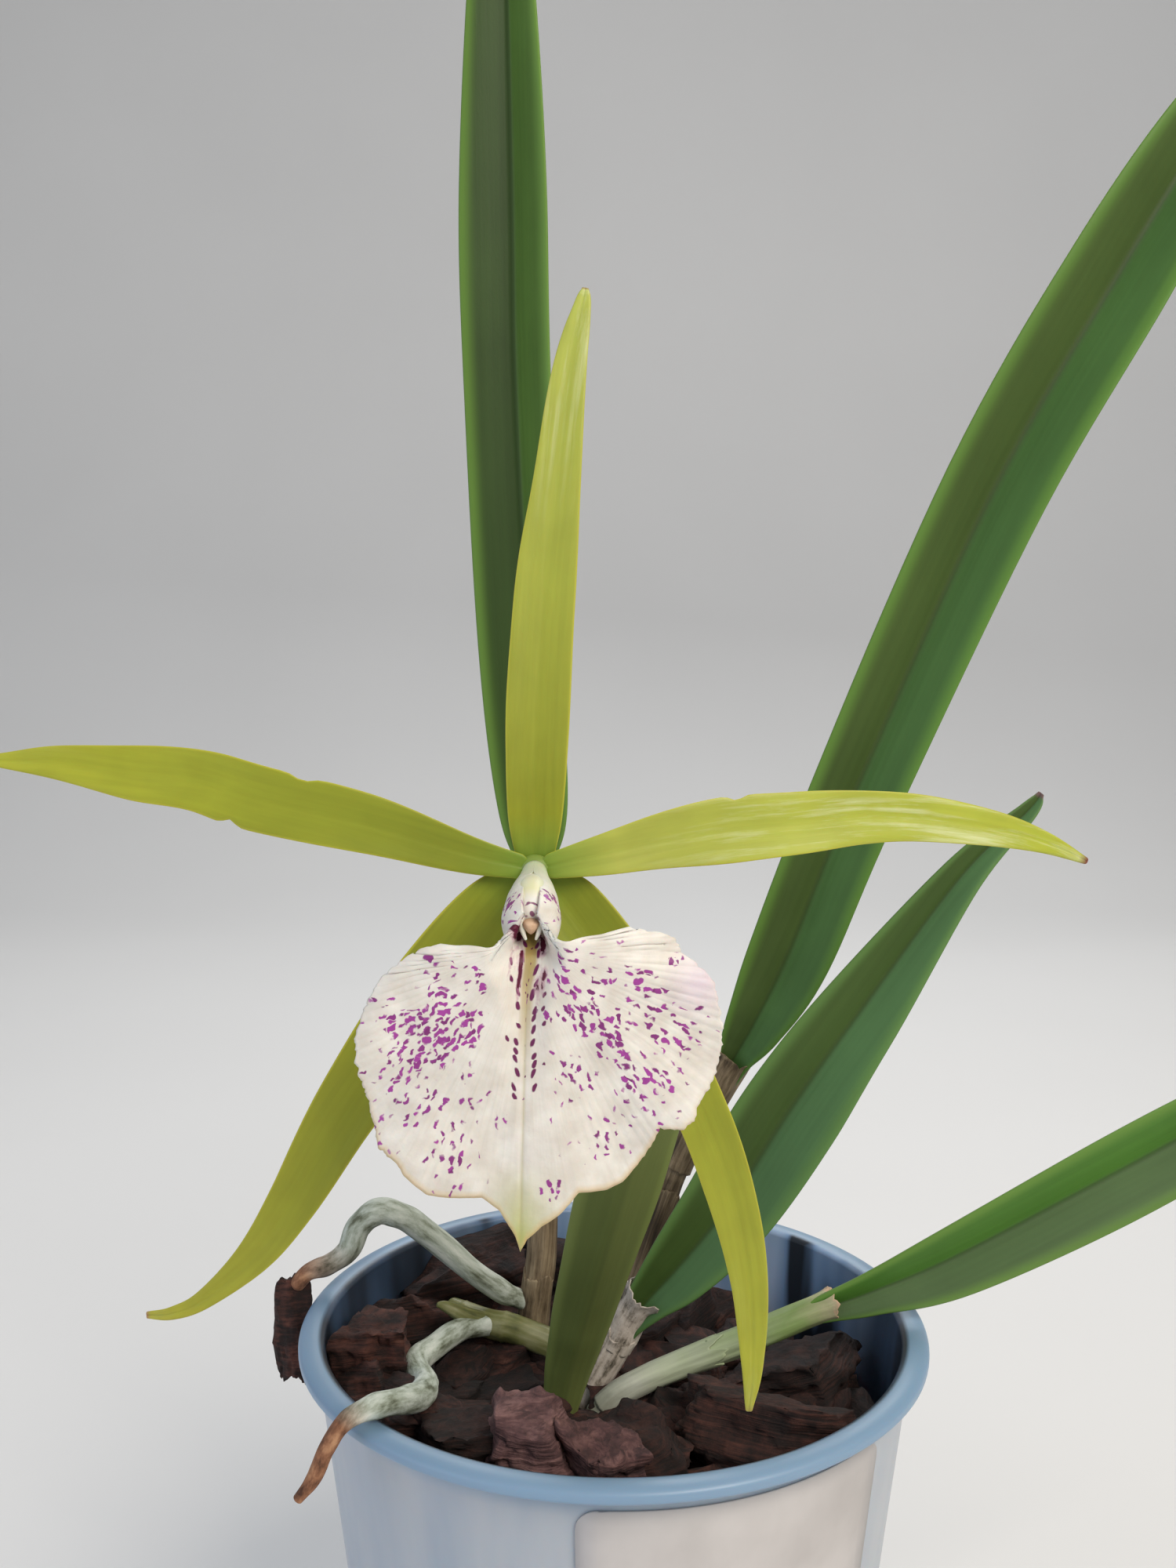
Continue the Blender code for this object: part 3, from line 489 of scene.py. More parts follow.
NODE_SPACING = 0.011
RING_WIDTH = 0.0005
RING_RELIEF = 0.06
STEM_RIBS = 7
STEM_RIB_TWIST = 300
STEM_RIB_RELIEF = 0.02
STEM_UNEVEN = 0.06
TANGENT_STEP = 0.005


def on_curve(stations, share):
    """Place and width at a share of the way along a smooth curve through the stations."""
    rows = [Vector(station) for station in stations]
    rows = [2 * rows[0] - rows[1], *rows, 2 * rows[-1] - rows[-2]]
    place = share * (len(stations) - 1)
    index = min(int(place), len(stations) - 2)
    t = place - index
    a, b, c, d = rows[index : index + 4]
    return b + ((c - a) * t + (2 * a - 5 * b + 4 * c - d) * t**2 + (3 * b - a - 3 * c + d) * t**3) / 2


def run_length(stations):
    places = [Vector(station[:3]) for station in stations]
    return sum((b - a).length for a, b in zip(places, places[1:]))


def axes_on_curve(stations, share, face):
    """Middle, half width, direction across and direction of the face at a share of the way along."""
    row = on_curve(stations, share)
    ahead = on_curve(stations, min(share + TANGENT_STEP, 1)).xyz
    tangent = (ahead - on_curve(stations, max(share - TANGENT_STEP, 0)).xyz).normalized()
    across = tangent.cross(Vector(face)).normalized()
    return row.xyz, row.w, across, across.cross(tangent)


def bent_grid(along, around, place):
    """Grid sent through place(u, v), which gives a point and where it would be on a straight piece."""
    bm = bmesh.new()
    straight = bm.verts.layers.float_vector.new("straight")
    share = bm.verts.layers.float_vector.new("share")
    bmesh.ops.create_grid(bm, x_segments=along, y_segments=around, size=0.5)
    for vert in bm.verts:
        vert.co, vert[straight], vert[share] = place(vert.co.x + 0.5, vert.co.y + 0.5)
    bmesh.ops.remove_doubles(bm, verts=bm.verts, dist=MERGE)
    bmesh.ops.recalc_face_normals(bm, faces=bm.faces)
    return bm


def stem_mesh(stations, face, relief, along=120, around=32):
    """Round stem with round ends. relief(distance, angle) is what it adds to the radius, as a share."""
    length = run_length(stations)

    def place(u, v):
        share = u - END_CROWDING * math.sin(math.tau * u) / math.tau
        middle, radius, across, front = axes_on_curve(stations, share, face)
        from_end = min(share, 1 - share) * length
        cap = max(1 - from_end / radius, 0)
        angle = math.tau * v
        radius *= math.sqrt(max(1 - cap**2, 0)) * (1 + relief(share * length, angle))
        x, y = radius * math.cos(angle), radius * math.sin(angle)
        return middle + across * x + front * y, (x, y, share * length), (share, v, 0)

    return bent_grid(along, around, place)


def jointed(distance, angle):
    """Green stem: a shallow ring scar every so often, and slight uneven ribs."""
    ring = math.exp(-(((distance % NODE_SPACING) - NODE_SPACING / 2) / RING_WIDTH) ** 2)
    rib = STEM_RIB_RELIEF * math.sin(angle * STEM_RIBS + distance * STEM_RIB_TWIST)
    uneven = noise.noise(Vector((math.cos(angle), math.sin(angle), distance * 150)))
    return RING_RELIEF * ring + rib + STEM_UNEVEN * uneven


def long_fibres(add, stretch, scale, *detail):
    """Place on the straight piece, and a noise that is drawn out along it."""
    straight = add("Attribute", attribute_name="straight").outputs["Vector"]
    return straight, add("TexNoise", add("Mapping", straight, Scale=stretch), scale, *detail)


def along_and_across(add):
    """Shares of the way along a piece, and across or round it."""
    shares = add("SeparateXYZ", add("Attribute", attribute_name="share").outputs["Vector"]).outputs
    return shares["X"], shares["Y"]


# Living green stem: waxy skin, streaked along its length from dark olive to pale green.
green_stem, add = finish_named("waxy_green_stem", 0.42, IOR=1.42, Subsurface_Weight=0.1,
                               Subsurface_Scale=0.002)
streak = long_fibres(add, (1, 1, 0.12), MM / 0.8, 4)[1]
mixed = add("Mix", 0.6, streak, add("TexNoise", add("TexCoord").outputs["Object"], 160, 5))
tone = add("ValToRGB", mixed, stops=[(0.34, "#3E4422"), (0.50, "#7B7D4C"), (0.66, "#A3A27A")])
dress(green_stem, Base_Color=tone, Normal=add("Bump", 0.25, 0.0003, Height=streak))

# Dry sheath: last year's papery leaf base, split in long tan and dark brown fibres.
dry_sheath, add = finish_named("dry_papery_sheath", 0.75)
straight, fibre = long_fibres(add, (1, 1, 0.06), MM / 0.7, 6, 0.7)
mixed = add("Mix", 0.4, fibre, add("TexNoise", straight, 150, 4))
tone = add("ValToRGB", mixed, stops=[(0.30, "#2A231A"), (0.42, "#5A4A35"), (0.54, "#8E7B60"),
                                     (0.68, "#BCA988")])
dress(dry_sheath, Base_Color=tone, Normal=add("Bump", 0.7, 0.0005, Height=fibre))

# Young sheath: thin whitish skin with silvery streaks and dark mottling.
pale_sheath, add = finish_named("whitish_papery_sheath", 0.6)
straight, fibre = long_fibres(add, (1, 1, 0.1), MM / 0.9, 5, 0.6)
mixed = add("Mix", 0.5, fibre, add("TexNoise", add("TexCoord").outputs["Object"], 420, 6, 0.7))
tone = add("ValToRGB", mixed, stops=[(0.36, "#2B2A22"), (0.43, "#857C70"), (0.50, "#BFB4A9"),
                                     (0.66, "#DDD5CC")])
dress(pale_sheath, Base_Color=tone, Normal=add("Bump", 0.6, 0.0005, Height=mixed))

# Fresh sheath: smooth and whitish below, green where the stem shows through, dry and tan at its end.
fresh_sheath, add = finish_named("fresh_papery_sheath", 0.5)
straight, fibre = long_fibres(add, (1, 1, 0.08), MM / 1.0, 4)
along = along_and_across(add)[0]
ragged = add("Math", add("TexNoise", straight, 260, 4), 0.24, along, operation="MULTIPLY_ADD")
run = add("ValToRGB", ragged, stops=[(0.20, "#8E9183"), (0.34, "#B4B8A9"), (0.62, "#A3AF8C"),
                                     (0.84, "#7F9659"), (0.98, "#A9A583"), (1.0, "#C9A98A")])
tone = add("HueSaturation", Color=run, Value=add("MapRange", fibre, 0.3, 0.7, 0.8, 1.15))
dress(fresh_sheath, Base_Color=tone, Normal=add("Bump", 0.35, 0.0004, Height=fibre))

STEMS = {
    "upright": (CANE_UPRIGHT, dry_sheath, "dry_sheath"),
    "long_right": (CANE_LONG_RIGHT, dry_sheath, "dry_sheath"),
    "mid_right": (CANE_MID_RIGHT, pale_sheath, "pale_sheath"),
    "low_right": (CANE_LOW_RIGHT, fresh_sheath, "pale_sheath"),
    "front": (CANE_FRONT, green_stem, "green_stem"),
}
for name, (stations, finish, slot) in STEMS.items():
    add_piece(f"stem_{name}", stem_mesh(stations, (0, -1, 0), jointed), [finish], f"cane_{name}")
add_piece("creeping_rhizome", stem_mesh(RHIZOME, (0, -1, 0), jointed), [green_stem], "rhizome")
add_piece("rhizome_bud", stem_mesh(RHIZOME_BUD, (0, -1, 0), jointed, 60, 24), [green_stem])

# The sheaths: each stem is wrapped in short papery tubes that overlap upwards, with torn tops.
# Those of the old stems are tan and split, and those of the young ones are whitish.
SHEATH_THICKNESS = 0.00018
SHEATH_FLARE = 0.0002
SHEATH_CREASE = 0.6
# For a stem, the station where its wrapping ends, in mm, and its sheaths: where each starts and ends
# along the stem, how far it stands off and how deep its tears are.
SHEATHS = {
    "upright": ((-14, 26.4, 171.2, 3.7), ("low", 0.05, 0.33, 0.0003, 0.2),
                ("mid", 0.29, 0.60, 0.0003, 0.2), ("top", 0.55, 1.0, 0.0004, 0.35)),
    "long_right": ((22.9, 24, 133.8, 3.6), ("low", 0.08, 0.46, 0.0003, 0.2),
                   ("top", 0.50, 1.0, 0.0004, 0.35)),
    "mid_right": ((6.6, -1, 99.8, 3.8), ("low", 0.12, 0.60, 0.0004, 0.2),
                  ("top", 0.46, 1.0, 0.0005, 0.4)),
    "low_right": ((38.5, -1.6, 98, 2.4), ("low", 0.08, 0.58, 0.0003, 0.2),
                  ("top", 0.50, 1.0, 0.0003, 0.35)),
}


def sheath_mesh(stations, start, end, stand_off, tear_depth, seed):
    """Thin tube round a stem from one share of its run to another, with a torn upper edge."""
    length = run_length(stations)

    def place(u, v):
        angle = math.tau * v
        round_trip = Vector((math.cos(angle), math.sin(angle), seed * 7.3))
        tear = 0.5 + 0.5 * noise.noise(round_trip * 1.6) + 0.25 * noise.noise(round_trip * 6)
        share = start + (end - start) * u * (1 - tear_depth * tear)
        middle, radius, across, front = axes_on_curve(stations, share, (0, -1, 0))
        crease = noise.noise(Vector((round_trip.x * 3, round_trip.y * 3, share * 8 + seed)))
        radius += stand_off * (1 + SHEATH_CREASE * crease) + SHEATH_FLARE * u**6
        x, y = radius * math.cos(angle), radius * math.sin(angle)
        return middle + across * x + front * y, (x, y, share * length + seed), (share, v, 0)

    return bent_grid(48, 48, place)


seed = 0
for name, (run_end, *tubes) in SHEATHS.items():
    stations, finish, slot = STEMS[name]
    short_name = name.split("_")[0]
    for part, *wrap in tubes:
        seed += 1
        tube = sheath_mesh([*stations, *in_metres([run_end])], *wrap, seed)
        add_piece(f"sheath_{short_name}_{part}", tube, [finish], thickness=SHEATH_THICKNESS)

# The roots: thick aerial roots in a dull silvery skin of dead cells, brown and dry at their ends.
# One arches over the left rim, and one climbs over the front left rim and hangs down outside.
ROOT_ARCH = in_metres([
    (-14.2, 19.7, 87.2, 1.4), (-16.9, 18.8, 88.9, 1.7), (-20.2, 17.8, 90.9, 2),
    (-25.6, 16.2, 95.6, 2.1), (-33.1, 14, 103.3, 2.2), (-37.7, 12.2, 107.3, 2.3),
    (-41.5, 11, 108.5, 2.3), (-44.8, 10.5, 106.2, 2.2), (-46.6, 10, 102, 2.1), (-50, 9.5, 99.5, 1.8),
    (-53.7, 9.2, 98, 1.5), (-56.2, 9.1, 95.3, 1.3),
])
ROOT_OVER_RIM = in_metres([
    (-20.5, 14.8, 85.8, 1.8), (-26.2, 11.8, 86.8, 2), (-30.4, 4.5, 87.2, 2.1), (-33.1, -3.4, 87.8, 2.2),
    (-30.6, -12, 89, 2.1), (-30.3, -20, 91.2, 2.2), (-31.8, -28, 94.6, 2.1), (-35, -34.5, 97.2, 1.8),
    (-38.8, -37.8, 96.8, 1.4), (-41.4, -39.2, 93.6, 1.2), (-43, -40.5, 90, 1.1),
    (-45.5, -41.5, 86.8, 0.7),
])
SWELLING_RELIEF = 0.13
FURROW_RELIEF = 0.05


def knobbly(distance, angle):
    """Root skin: uneven swellings, with shallow furrows along it."""
    swelling = noise.noise(Vector((math.cos(angle) * 0.6, math.sin(angle) * 0.6, distance * 260)))
    furrow = noise.noise(Vector((math.cos(angle) * 3, math.sin(angle) * 3, distance * 90)))
    return SWELLING_RELIEF * swelling + FURROW_RELIEF * furrow


def root_skin(name, paleness, brown_from, brown_to):
    """Velamen, spongy and matt: silvery green, mottled darker, turning brown towards the dry end."""
    made, add = finish_named(name, 0.8)
    straight, mottle = long_fibres(add, (1, 1, 0.35), 520, 6, 0.62)
    along = along_and_across(add)[0]
    pale = add("ValToRGB", mottle, stops=[(0.34, "#5F6350"), (0.44, "#98A08F"), (0.54, "#BCC4B8"),
                                          (0.70, "#D8DCD2")])
    washed = add("HueSaturation", Color=pale, Value=paleness)
    brown = add("ValToRGB", mottle, stops=[(0.35, "#4C2D1B"), (0.50, "#8C5F43"), (0.66, "#B98C68")])
    tone = lay_over(add, washed, (add("MapRange", along, brown_from, brown_to), brown))
    pores = add("TexNoise", straight, MM / 0.5, 4)
    dress(made, Base_Color=tone, Normal=add("Bump", 0.35, 0.0004, Height=pores))
    return made


add_piece("arching_root", stem_mesh(ROOT_ARCH, (0, -1, 0), knobbly, 200),
          [root_skin("velamen_of_arch", 0.97, 0.70, 0.92)], "root_arch")
add_piece("climbing_root", stem_mesh(ROOT_OVER_RIM, (1, 0, 0), knobbly, 220),
          [root_skin("velamen_over_rim", 1.18, 0.67, 0.75)], "root_over_rim")

# The leaves: one thick leathery strap on each stem, folded like a V along its crease, with a keel
# behind. They are stiff, and lean the way that they grew.
LEAF_THICKNESS = 0.0024
FOLD_SOFTNESS = 0.05
CREASE_SPREAD = 0.07
KEEL_SPREAD = 0.12
BLADE_WAVES = 3
LEAF_UPRIGHT = in_metres([
    (-13.6, 25.2, 160, 1.8), (-13.8, 26.2, 163.5, 2.3), (-14, 26.6, 169, 3.6), (-14.4, 26.8, 179, 6.4),
    (-16.4, 27.5, 204.9, 7.6), (-18.9, 29.5, 254.7, 7.9), (-19.5, 31, 286.4, 8),
    (-19.9, 33, 324.9, 6.2), (-20, 34.5, 348, 3.4), (-20, 35, 360, 0.7),
])
LEAF_LONG_RIGHT = in_metres([
    (19.2, 24, 126.2, 2), (20.7, 24, 129.2, 2.6), (22.6, 24, 133, 3.3), (25.8, 24, 139.2, 5.2),
    (32, 24, 152.7, 7.3), (43.3, 24, 181.3, 8), (67.9, 26, 236.3, 9.1), (90, 27.4, 275.2, 9.4),
    (106, 28.5, 301, 7.5), (118, 29.5, 318, 4), (124, 30, 326, 0.8),
])
LEAF_MID_RIGHT = in_metres([
    (1, -0.1, 91, 1.8), (3, -0.6, 94.5, 2.4), (5.8, -1, 98.5, 3.6), (10.7, -1, 104.5, 5.5),
    (19, -0.8, 115.5, 7.3), (28.8, 0, 131.1, 7.9), (40, 1.3, 146.5, 6.7), (57.9, 3, 169.6, 3.4),
    (69.4, 4, 180.4, 1.6), (72, 4, 183.6, 0.5),
])
LEAF_LOW_RIGHT = in_metres([
    (29, -2.4, 94.5, 1.3), (32, -2.2, 95.5, 1.7), (36.2, -1.8, 97, 2.4), (43.8, -1, 99.2, 3.7),
    (58.3, 1, 104.2, 6), (85.8, 5, 116.7, 7.3), (105, 7.5, 126.2, 7), (125, 10, 137, 4.6),
    (137, 11.5, 144, 0.8),
])
LEAF_FRONT = in_metres([
    (-9.1, -6.6, 76, 1.8), (-8.7, -7.8, 81.5, 2.8), (-7.7, -9, 88, 3.8), (-6.2, -10.6, 94.5, 4.6),
    (-4, -14, 104.4, 5.5), (0.2, -24.5, 124, 6.4), (3, -30.5, 136, 6.1), (5.8, -34.5, 147, 5),
    (7.7, -38, 162, 0.6),
])


def blade_mesh(stations, shape, along=160, around=56):
    """Closed blade with a round margin. Its section is a V by shape["fold"] or a trough by "cup",
    turned about its middle line by "turn", with a "crease" above and a "keel" below."""
    length = run_length(stations)
    turn = math.radians(shape.get("turn", 0))
    fold = shape.get("fold", 0)
    cup = shape.get("cup", 0)
    seed = len(stations) + 10 * stations[0][0]

    def place(u, v):
        share = u - END_CROWDING * math.sin(math.tau * u) / math.tau
        middle, half, across, front = axes_on_curve(stations, share, shape["face"])
        from_end = min(share, 1 - share) * length
        cap = math.sqrt(max(1 - max(1 - from_end / half, 0) ** 2, 0))
        angle = math.tau * v
        side = math.cos(angle)
        upper = 1 if math.sin(angle) > 0 else -1
        for at, edge, depth, spread in shape.get("notches", ()):
            half -= depth * math.exp(-(((share - at) / spread) ** 2)) * max(side * edge, 0)
        half *= 1 + shape.get("uneven", 0) * noise.noise(Vector((share * 9, seed, 0.4 * side)))
        middle -= across * half / math.cos(turn) * fold * math.sin(turn)
        half /= math.cos(turn)
        turned_across = across * math.cos(turn) - front * math.sin(turn)
        turned_front = front * math.cos(turn) + across * math.sin(turn)
        lift = fold * (math.sqrt(side**2 + FOLD_SOFTNESS**2) - FOLD_SOFTNESS) + cup * side**2
        lift += shape.get("wave", 0) * side**3 * math.sin(BLADE_WAVES * math.tau * share)
        body = min(shape["thickness"], half) / 2 * math.sqrt(max(1 - side**4, 0))
        if upper > 0:
            body -= shape.get("crease", 0) * math.exp(-((side / CREASE_SPREAD) ** 2))
        else:
            body += shape.get("keel", 0) * math.exp(-((side / KEEL_SPREAD) ** 2))
        x, y = half * side * cap, (half * lift + upper * body) * cap
        return (
            middle + turned_across * x + turned_front * y,
            (x, y, share * length),
            (share, side, upper * math.sqrt(max(1 - side**4, 0))),
        )

    return bent_grid(along, around, place)


def leaf_skin(name, left, right, margin, tip, crease_shade):
    """Waxy leather of a cattleya leaf: each half even green with faint lengthwise veins, one half
    painted lighter and the other darker as light and shade, with painted shade darkening the crease
    between them, a broad brighter margin and a dried tip."""
    made, add = finish_named(name, 0.46, IOR=1.45, Subsurface_Weight=0.05, Subsurface_Scale=0.002,
                             Specular_IOR_Level=0.2)
    straight, veins = long_fibres(add, (1, 0.3, 0.03), MM / 0.9, 3)
    along, side = along_and_across(add)
    from_fold = add("Math", side, operation="ABSOLUTE")
    # The two halves' greens differ as painted light and shade: one half is painted lit, the other shaded.
    halves = lay_over(add, left, (add("MapRange", side, -0.04, 0.04), right))
    mixed = add("Mix", 0.72, veins, add("TexNoise", straight, 45, 6))
    green = add("HueSaturation", Color=halves, Value=add("MapRange", mixed, 0.3, 0.7, 0.78, 1.2))
    rim = add("MapRange", from_fold, 0.62, 1, To_Max=0.7, interpolation_type="SMOOTHERSTEP")
    # The darker band along the crease is painted shade.
    tone = lay_over(add, green, (add("MapRange", from_fold, 0.11, 0, To_Max=0.5), crease_shade),
                    (rim, margin), (add("MapRange", along, 0.955, 0.985, To_Max=0.8), tip))
    # The real pores are too fine to see, so the waxy grain is drawn at 0.5 mm.
    relief = add("Mix", 0.3, veins, add("TexNoise", straight, MM / 0.5, 3))
    dress(made, Base_Color=tone, Normal=add("Bump", 0.12, 0.0004, Height=relief))
    return made


COMMON_LEAF = {"thickness": LEAF_THICKNESS, "crease": 0.0002, "keel": 0.0006, "uneven": 0.03}
# Colours: left half, right half, margin, tip and crease; the halves differ as painted light and shade, and
# the crease colour is painted shade.
LEAVES = [
    ("upright", LEAF_UPRIGHT, {"face": (0, -1, 0), "fold": 0.7, "turn": -20},
     ("#33491F", "#557433", "#6D9241", "#6F7B4A", "#2C3822")),
    ("long_right", LEAF_LONG_RIGHT, {"face": (0, -1, 0), "fold": 0.7, "turn": -10},
     ("#45592B", "#4A6D38", "#648C3C", "#62743F", "#2C3822")),
    ("mid_right", LEAF_MID_RIGHT, {"face": (0, -1, 0), "fold": 0.65, "turn": -15},
     ("#42582A", "#507347", "#628648", "#70535A", "#2C3822")),
    ("low_right", LEAF_LOW_RIGHT, {"face": (0, -1, 0.3), "fold": 0.6, "turn": 10},
     ("#4B762E", "#496239", "#6A8D42", "#6B7A3C", "#2C3822")),
    ("front", LEAF_FRONT, {"face": (0, -1, 0), "fold": -0.35, "turn": 10},
     ("#5E6A3A", "#66713F", "#7F8C4C", "#6F7B48", "#586238")),
]
for place_name, stations, shape, colours in LEAVES:
    finish = leaf_skin(f"waxy_leaf_{place_name}", *colours)
    add_piece(f"strap_leaf_{place_name}", blade_mesh(stations, {**COMMON_LEAF, **shape}), [finish],
              f"leaf_{place_name}")

# The flower stalk: a thin green stalk from the top of the upright stem, thicker and ribbed where it
# is the ovary, which carries the flower.
FLOWER_STALK = in_metres([
    (-13.8, 23.8, 167.2, 1.1), (-13.4, 21.4, 171.2, 1.1), (-12.8, 14, 179, 1.1), (-11.8, -10, 187, 1.1),
    (-11.1, -35, 186.8, 1.4), (-10.8, -52, 182.6, 1.9), (-10.8, -56, 181.2, 1.9),
    (-10.7, -58.3, 180.5, 1.7), (-10.7, -59.2, 180.1, 1.1), (-10.7, -62.2, 179.7, 1.1),
])
OVARY_START = 0.048
RIB_DEPTH = 0.08
RIB_RUN = 0.02
OVARY_RIBS = 6
STALK_UNEVEN = 0.04


def ribbed(distance, angle):
    """Stalk with six shallow ribs where it swells into the ovary."""
    depth = RIB_DEPTH * min(max((distance - OVARY_START) / RIB_RUN, 0), 1)
    uneven = noise.noise(Vector((distance * 200, angle, 0)))
    return depth * math.cos(angle * OVARY_RIBS) + STALK_UNEVEN * uneven


# Young stalk: smooth waxy green, brighter than the old stems, with fine streaks along it.
young_green, add = finish_named("young_green_stalk", 0.42, IOR=1.42, Subsurface_Weight=0.1,
                                Subsurface_Scale=0.002)
streak = long_fibres(add, (1, 1, 0.1), MM / 0.7, 4)[1]
tone = add("ValToRGB", streak, stops=[(0.36, "#5E7A2C"), (0.62, "#93A550")])
dress(young_green, Base_Color=tone, Normal=add("Bump", 0.2, 0.0003, Height=streak))
add_piece("ribbed_stalk", stem_mesh(FLOWER_STALK, (1, 0, 0), ribbed, 200, 36), [young_green],
          "flower_stalk")
FLOWER_CENTRE = Vector((-0.0107, -0.0610, 0.1798))
RECEPTACLE_SIZE = (0.0021, 0.0015, 0.0018)
RECEPTACLE_SHIFT = Vector((0, 0.0004, -0.0001))
bm = bmesh.new()
bmesh.ops.create_icosphere(bm, subdivisions=4, radius=1)
bmesh.ops.scale(bm, verts=bm.verts, vec=RECEPTACLE_SIZE)
bmesh.ops.translate(bm, verts=bm.verts, vec=FLOWER_CENTRE + RECEPTACLE_SHIFT)
add_piece("receptacle", bm, [young_green])

# The tepals: three sepals and two petals, narrow, fleshy and slightly troughed, spread like a star.
# They grow from the top of the ovary. Their stations are measured from the flower's
# centre, in mm.
TEPAL_THICKNESS = 0.0008
DORSAL_SEPAL = [
    (0, 1.3, 0.6, 2.2), (0, 1.2, 7, 3.4), (0.3, 2.2, 18, 3.9), (1.2, 4, 33.5, 3.8), (2.6, 5, 47, 3),
    (4.3, 6, 61.5, 2.1), (5.8, 6.5, 69, 1.1), (6.2, 6.6, 71.2, 0.4),
]
PETAL_LEFT = [
    (-0.8, -0.2, 0.1, 1.4), (-8.1, -0.3, 1.8, 2.3), (-20, 0.5, 5.3, 3.6), (-33.8, 1.5, 8.4, 4.1),
    (-41.7, 2.5, 10.6, 3.9), (-50, 3.6, 11.5, 3.4), (-60, 4.8, 12.7, 2.1), (-67, 5.8, 12.9, 1),
    (-70.8, 6.5, 13, 0.4),
]
PETAL_RIGHT = [
    (0.8, -0.2, 0.1, 1.4), (8, -0.3, 1.7, 2.5), (15.6, 0.5, 3.3, 3.4), (23.1, 1, 4.6, 4.1),
    (31.9, 1.5, 5.4, 3.9), (40.5, 2.5, 6.1, 3.3), (48.3, 3.5, 5.8, 2.9), (57, 4.6, 4.5, 2.3),
    (64, 5.6, 2.6, 1.4), (70, 6.5, 0, 0.4),
]
SEPAL_LEFT = [
    (-0.6, 1.3, -0.6, 1.8), (-5.2, 0.6, -5.4, 4.4), (-13.2, -2.6, -15.8, 5.3),
    (-22.2, -4.8, -27.8, 4.1), (-29, -5.5, -39.5, 3.1), (-33.9, -5, -46.5, 2.2),
    (-40.4, -4, -52.5, 1.2), (-44.6, -3.5, -54.6, 0.8), (-48, -3, -55.1, 0.4),
]
SEPAL_RIGHT = [
    (0.6, 1.3, -0.6, 1.8), (4.4, 0.6, -5.4, 4.4), (11.9, -2.6, -15.2, 4.6), (19, -4.8, -26.4, 3.3),
    (23.5, -5.5, -38, 3), (26.1, -4.8, -50, 2.3), (26.7, -4, -60.6, 1.4), (26.4, -3.5, -67.2, 0.4),
]


def tepal_skin(name, low, high, pale, pale_share, tip):
    """Fleshy yellow-green tepal: faint lengthwise streaks, a bright thin margin and pale mottling."""
    made, add = finish_named(name, 0.42, IOR=1.42, Subsurface_Weight=0.12, Subsurface_Scale=0.0015,
                             Specular_IOR_Level=0.35)
    straight, streak = long_fibres(add, (1, 0.5, 0.07), MM / 0.8, 4)
    mottle = long_fibres(add, (1, 0.5, 0.07), 700, 6, 0.7)[1]
    along, side = along_and_across(add)
    run = add("ValToRGB", along, stops=[(0, "#7A9636"), (0.14, low), (0.9, high)])
    shade = add("Mix", 0.6, streak, add("TexNoise", straight, 110, 6))
    body = add("HueSaturation", Color=run, Value=add("MapRange", shade, 0.3, 0.7, 0.84, 1.12))
    flecks = add("MapRange", mottle, 0.48, 0.66, To_Max=pale)
    reach = add("MapRange", along, pale_share - 0.25, pale_share)
    rim = add("MapRange", add("Math", side, operation="ABSOLUTE"), 0.93, 0.99, To_Max=0.7)
    tone = lay_over(add, body, (add("Math", flecks, reach, operation="MULTIPLY"), "#CDD39A"),
                    (rim, "#B9B83E"), (add("MapRange", along, 0.975, 0.995), tip))
    relief = add("Mix", 0.4, streak, mottle)
    dress(made, Base_Color=tone, Normal=add("Bump", 0.2, 0.0003, Height=relief))
    return made


COMMON_TEPAL = {"face": (0, -1, 0.15), "thickness": TEPAL_THICKNESS, "crease": 0.0001, "keel": 0.0002,
                "uneven": 0.04}
TEPALS = [
    ("dorsal_sepal", DORSAL_SEPAL, {"cup": 0.18}, ("#8D9226", "#B3BC58", 0.7, 0.75, "#8A7437")),
    ("petal_left", PETAL_LEFT,
     {"cup": 0.16, "wave": 0.08, "notches": [(0.41, -1, 0.0007, 0.012), (0.33, 1, 0.0006, 0.012)]},
     ("#868F2A", "#ABAE30", 0.1, 0.9, "#B5B62F")),
    ("petal_right", PETAL_RIGHT, {"cup": 0.16, "wave": 0.08, "notches": [(0.36, -1, 0.0006, 0.012)]},
     ("#ADB34E", "#AEB63D", 0.85, 0.42, "#7A4A38")),
    ("lateral_sepal_left", SEPAL_LEFT, {"cup": 0.2}, ("#838B26", "#A3A235", 0.1, 0.9, "#9C7A55")),
    ("lateral_sepal_right", SEPAL_RIGHT, {"cup": 0.2}, ("#868F2B", "#A6A836", 0.15, 0.9, "#9A9245")),
]
for node, offsets, shape, colours in TEPALS:
    blade = blade_mesh(in_metres(offsets, FLOWER_CENTRE), {**COMMON_TEPAL, **shape}, 160, 48)
    add_piece(f"fleshy_{node}", blade, [tepal_skin(f"tepal_skin_{node}", *colours)], node)

# The lip: the third petal, one thin waxy sheet. Its claw wraps the column like a hood, and its
# heart-shaped blade spreads out below, creased down the middle, pleated and finely toothed.
LIP_THICKNESS = 0.0006
CLAW_NOD = math.radians(12.5)
CLAW_SET_BACK = 0.0010
CLAW_LENGTH = 0.0199
CLAW_LEAN = 0.0003
CLAW_SHARE = 0.34
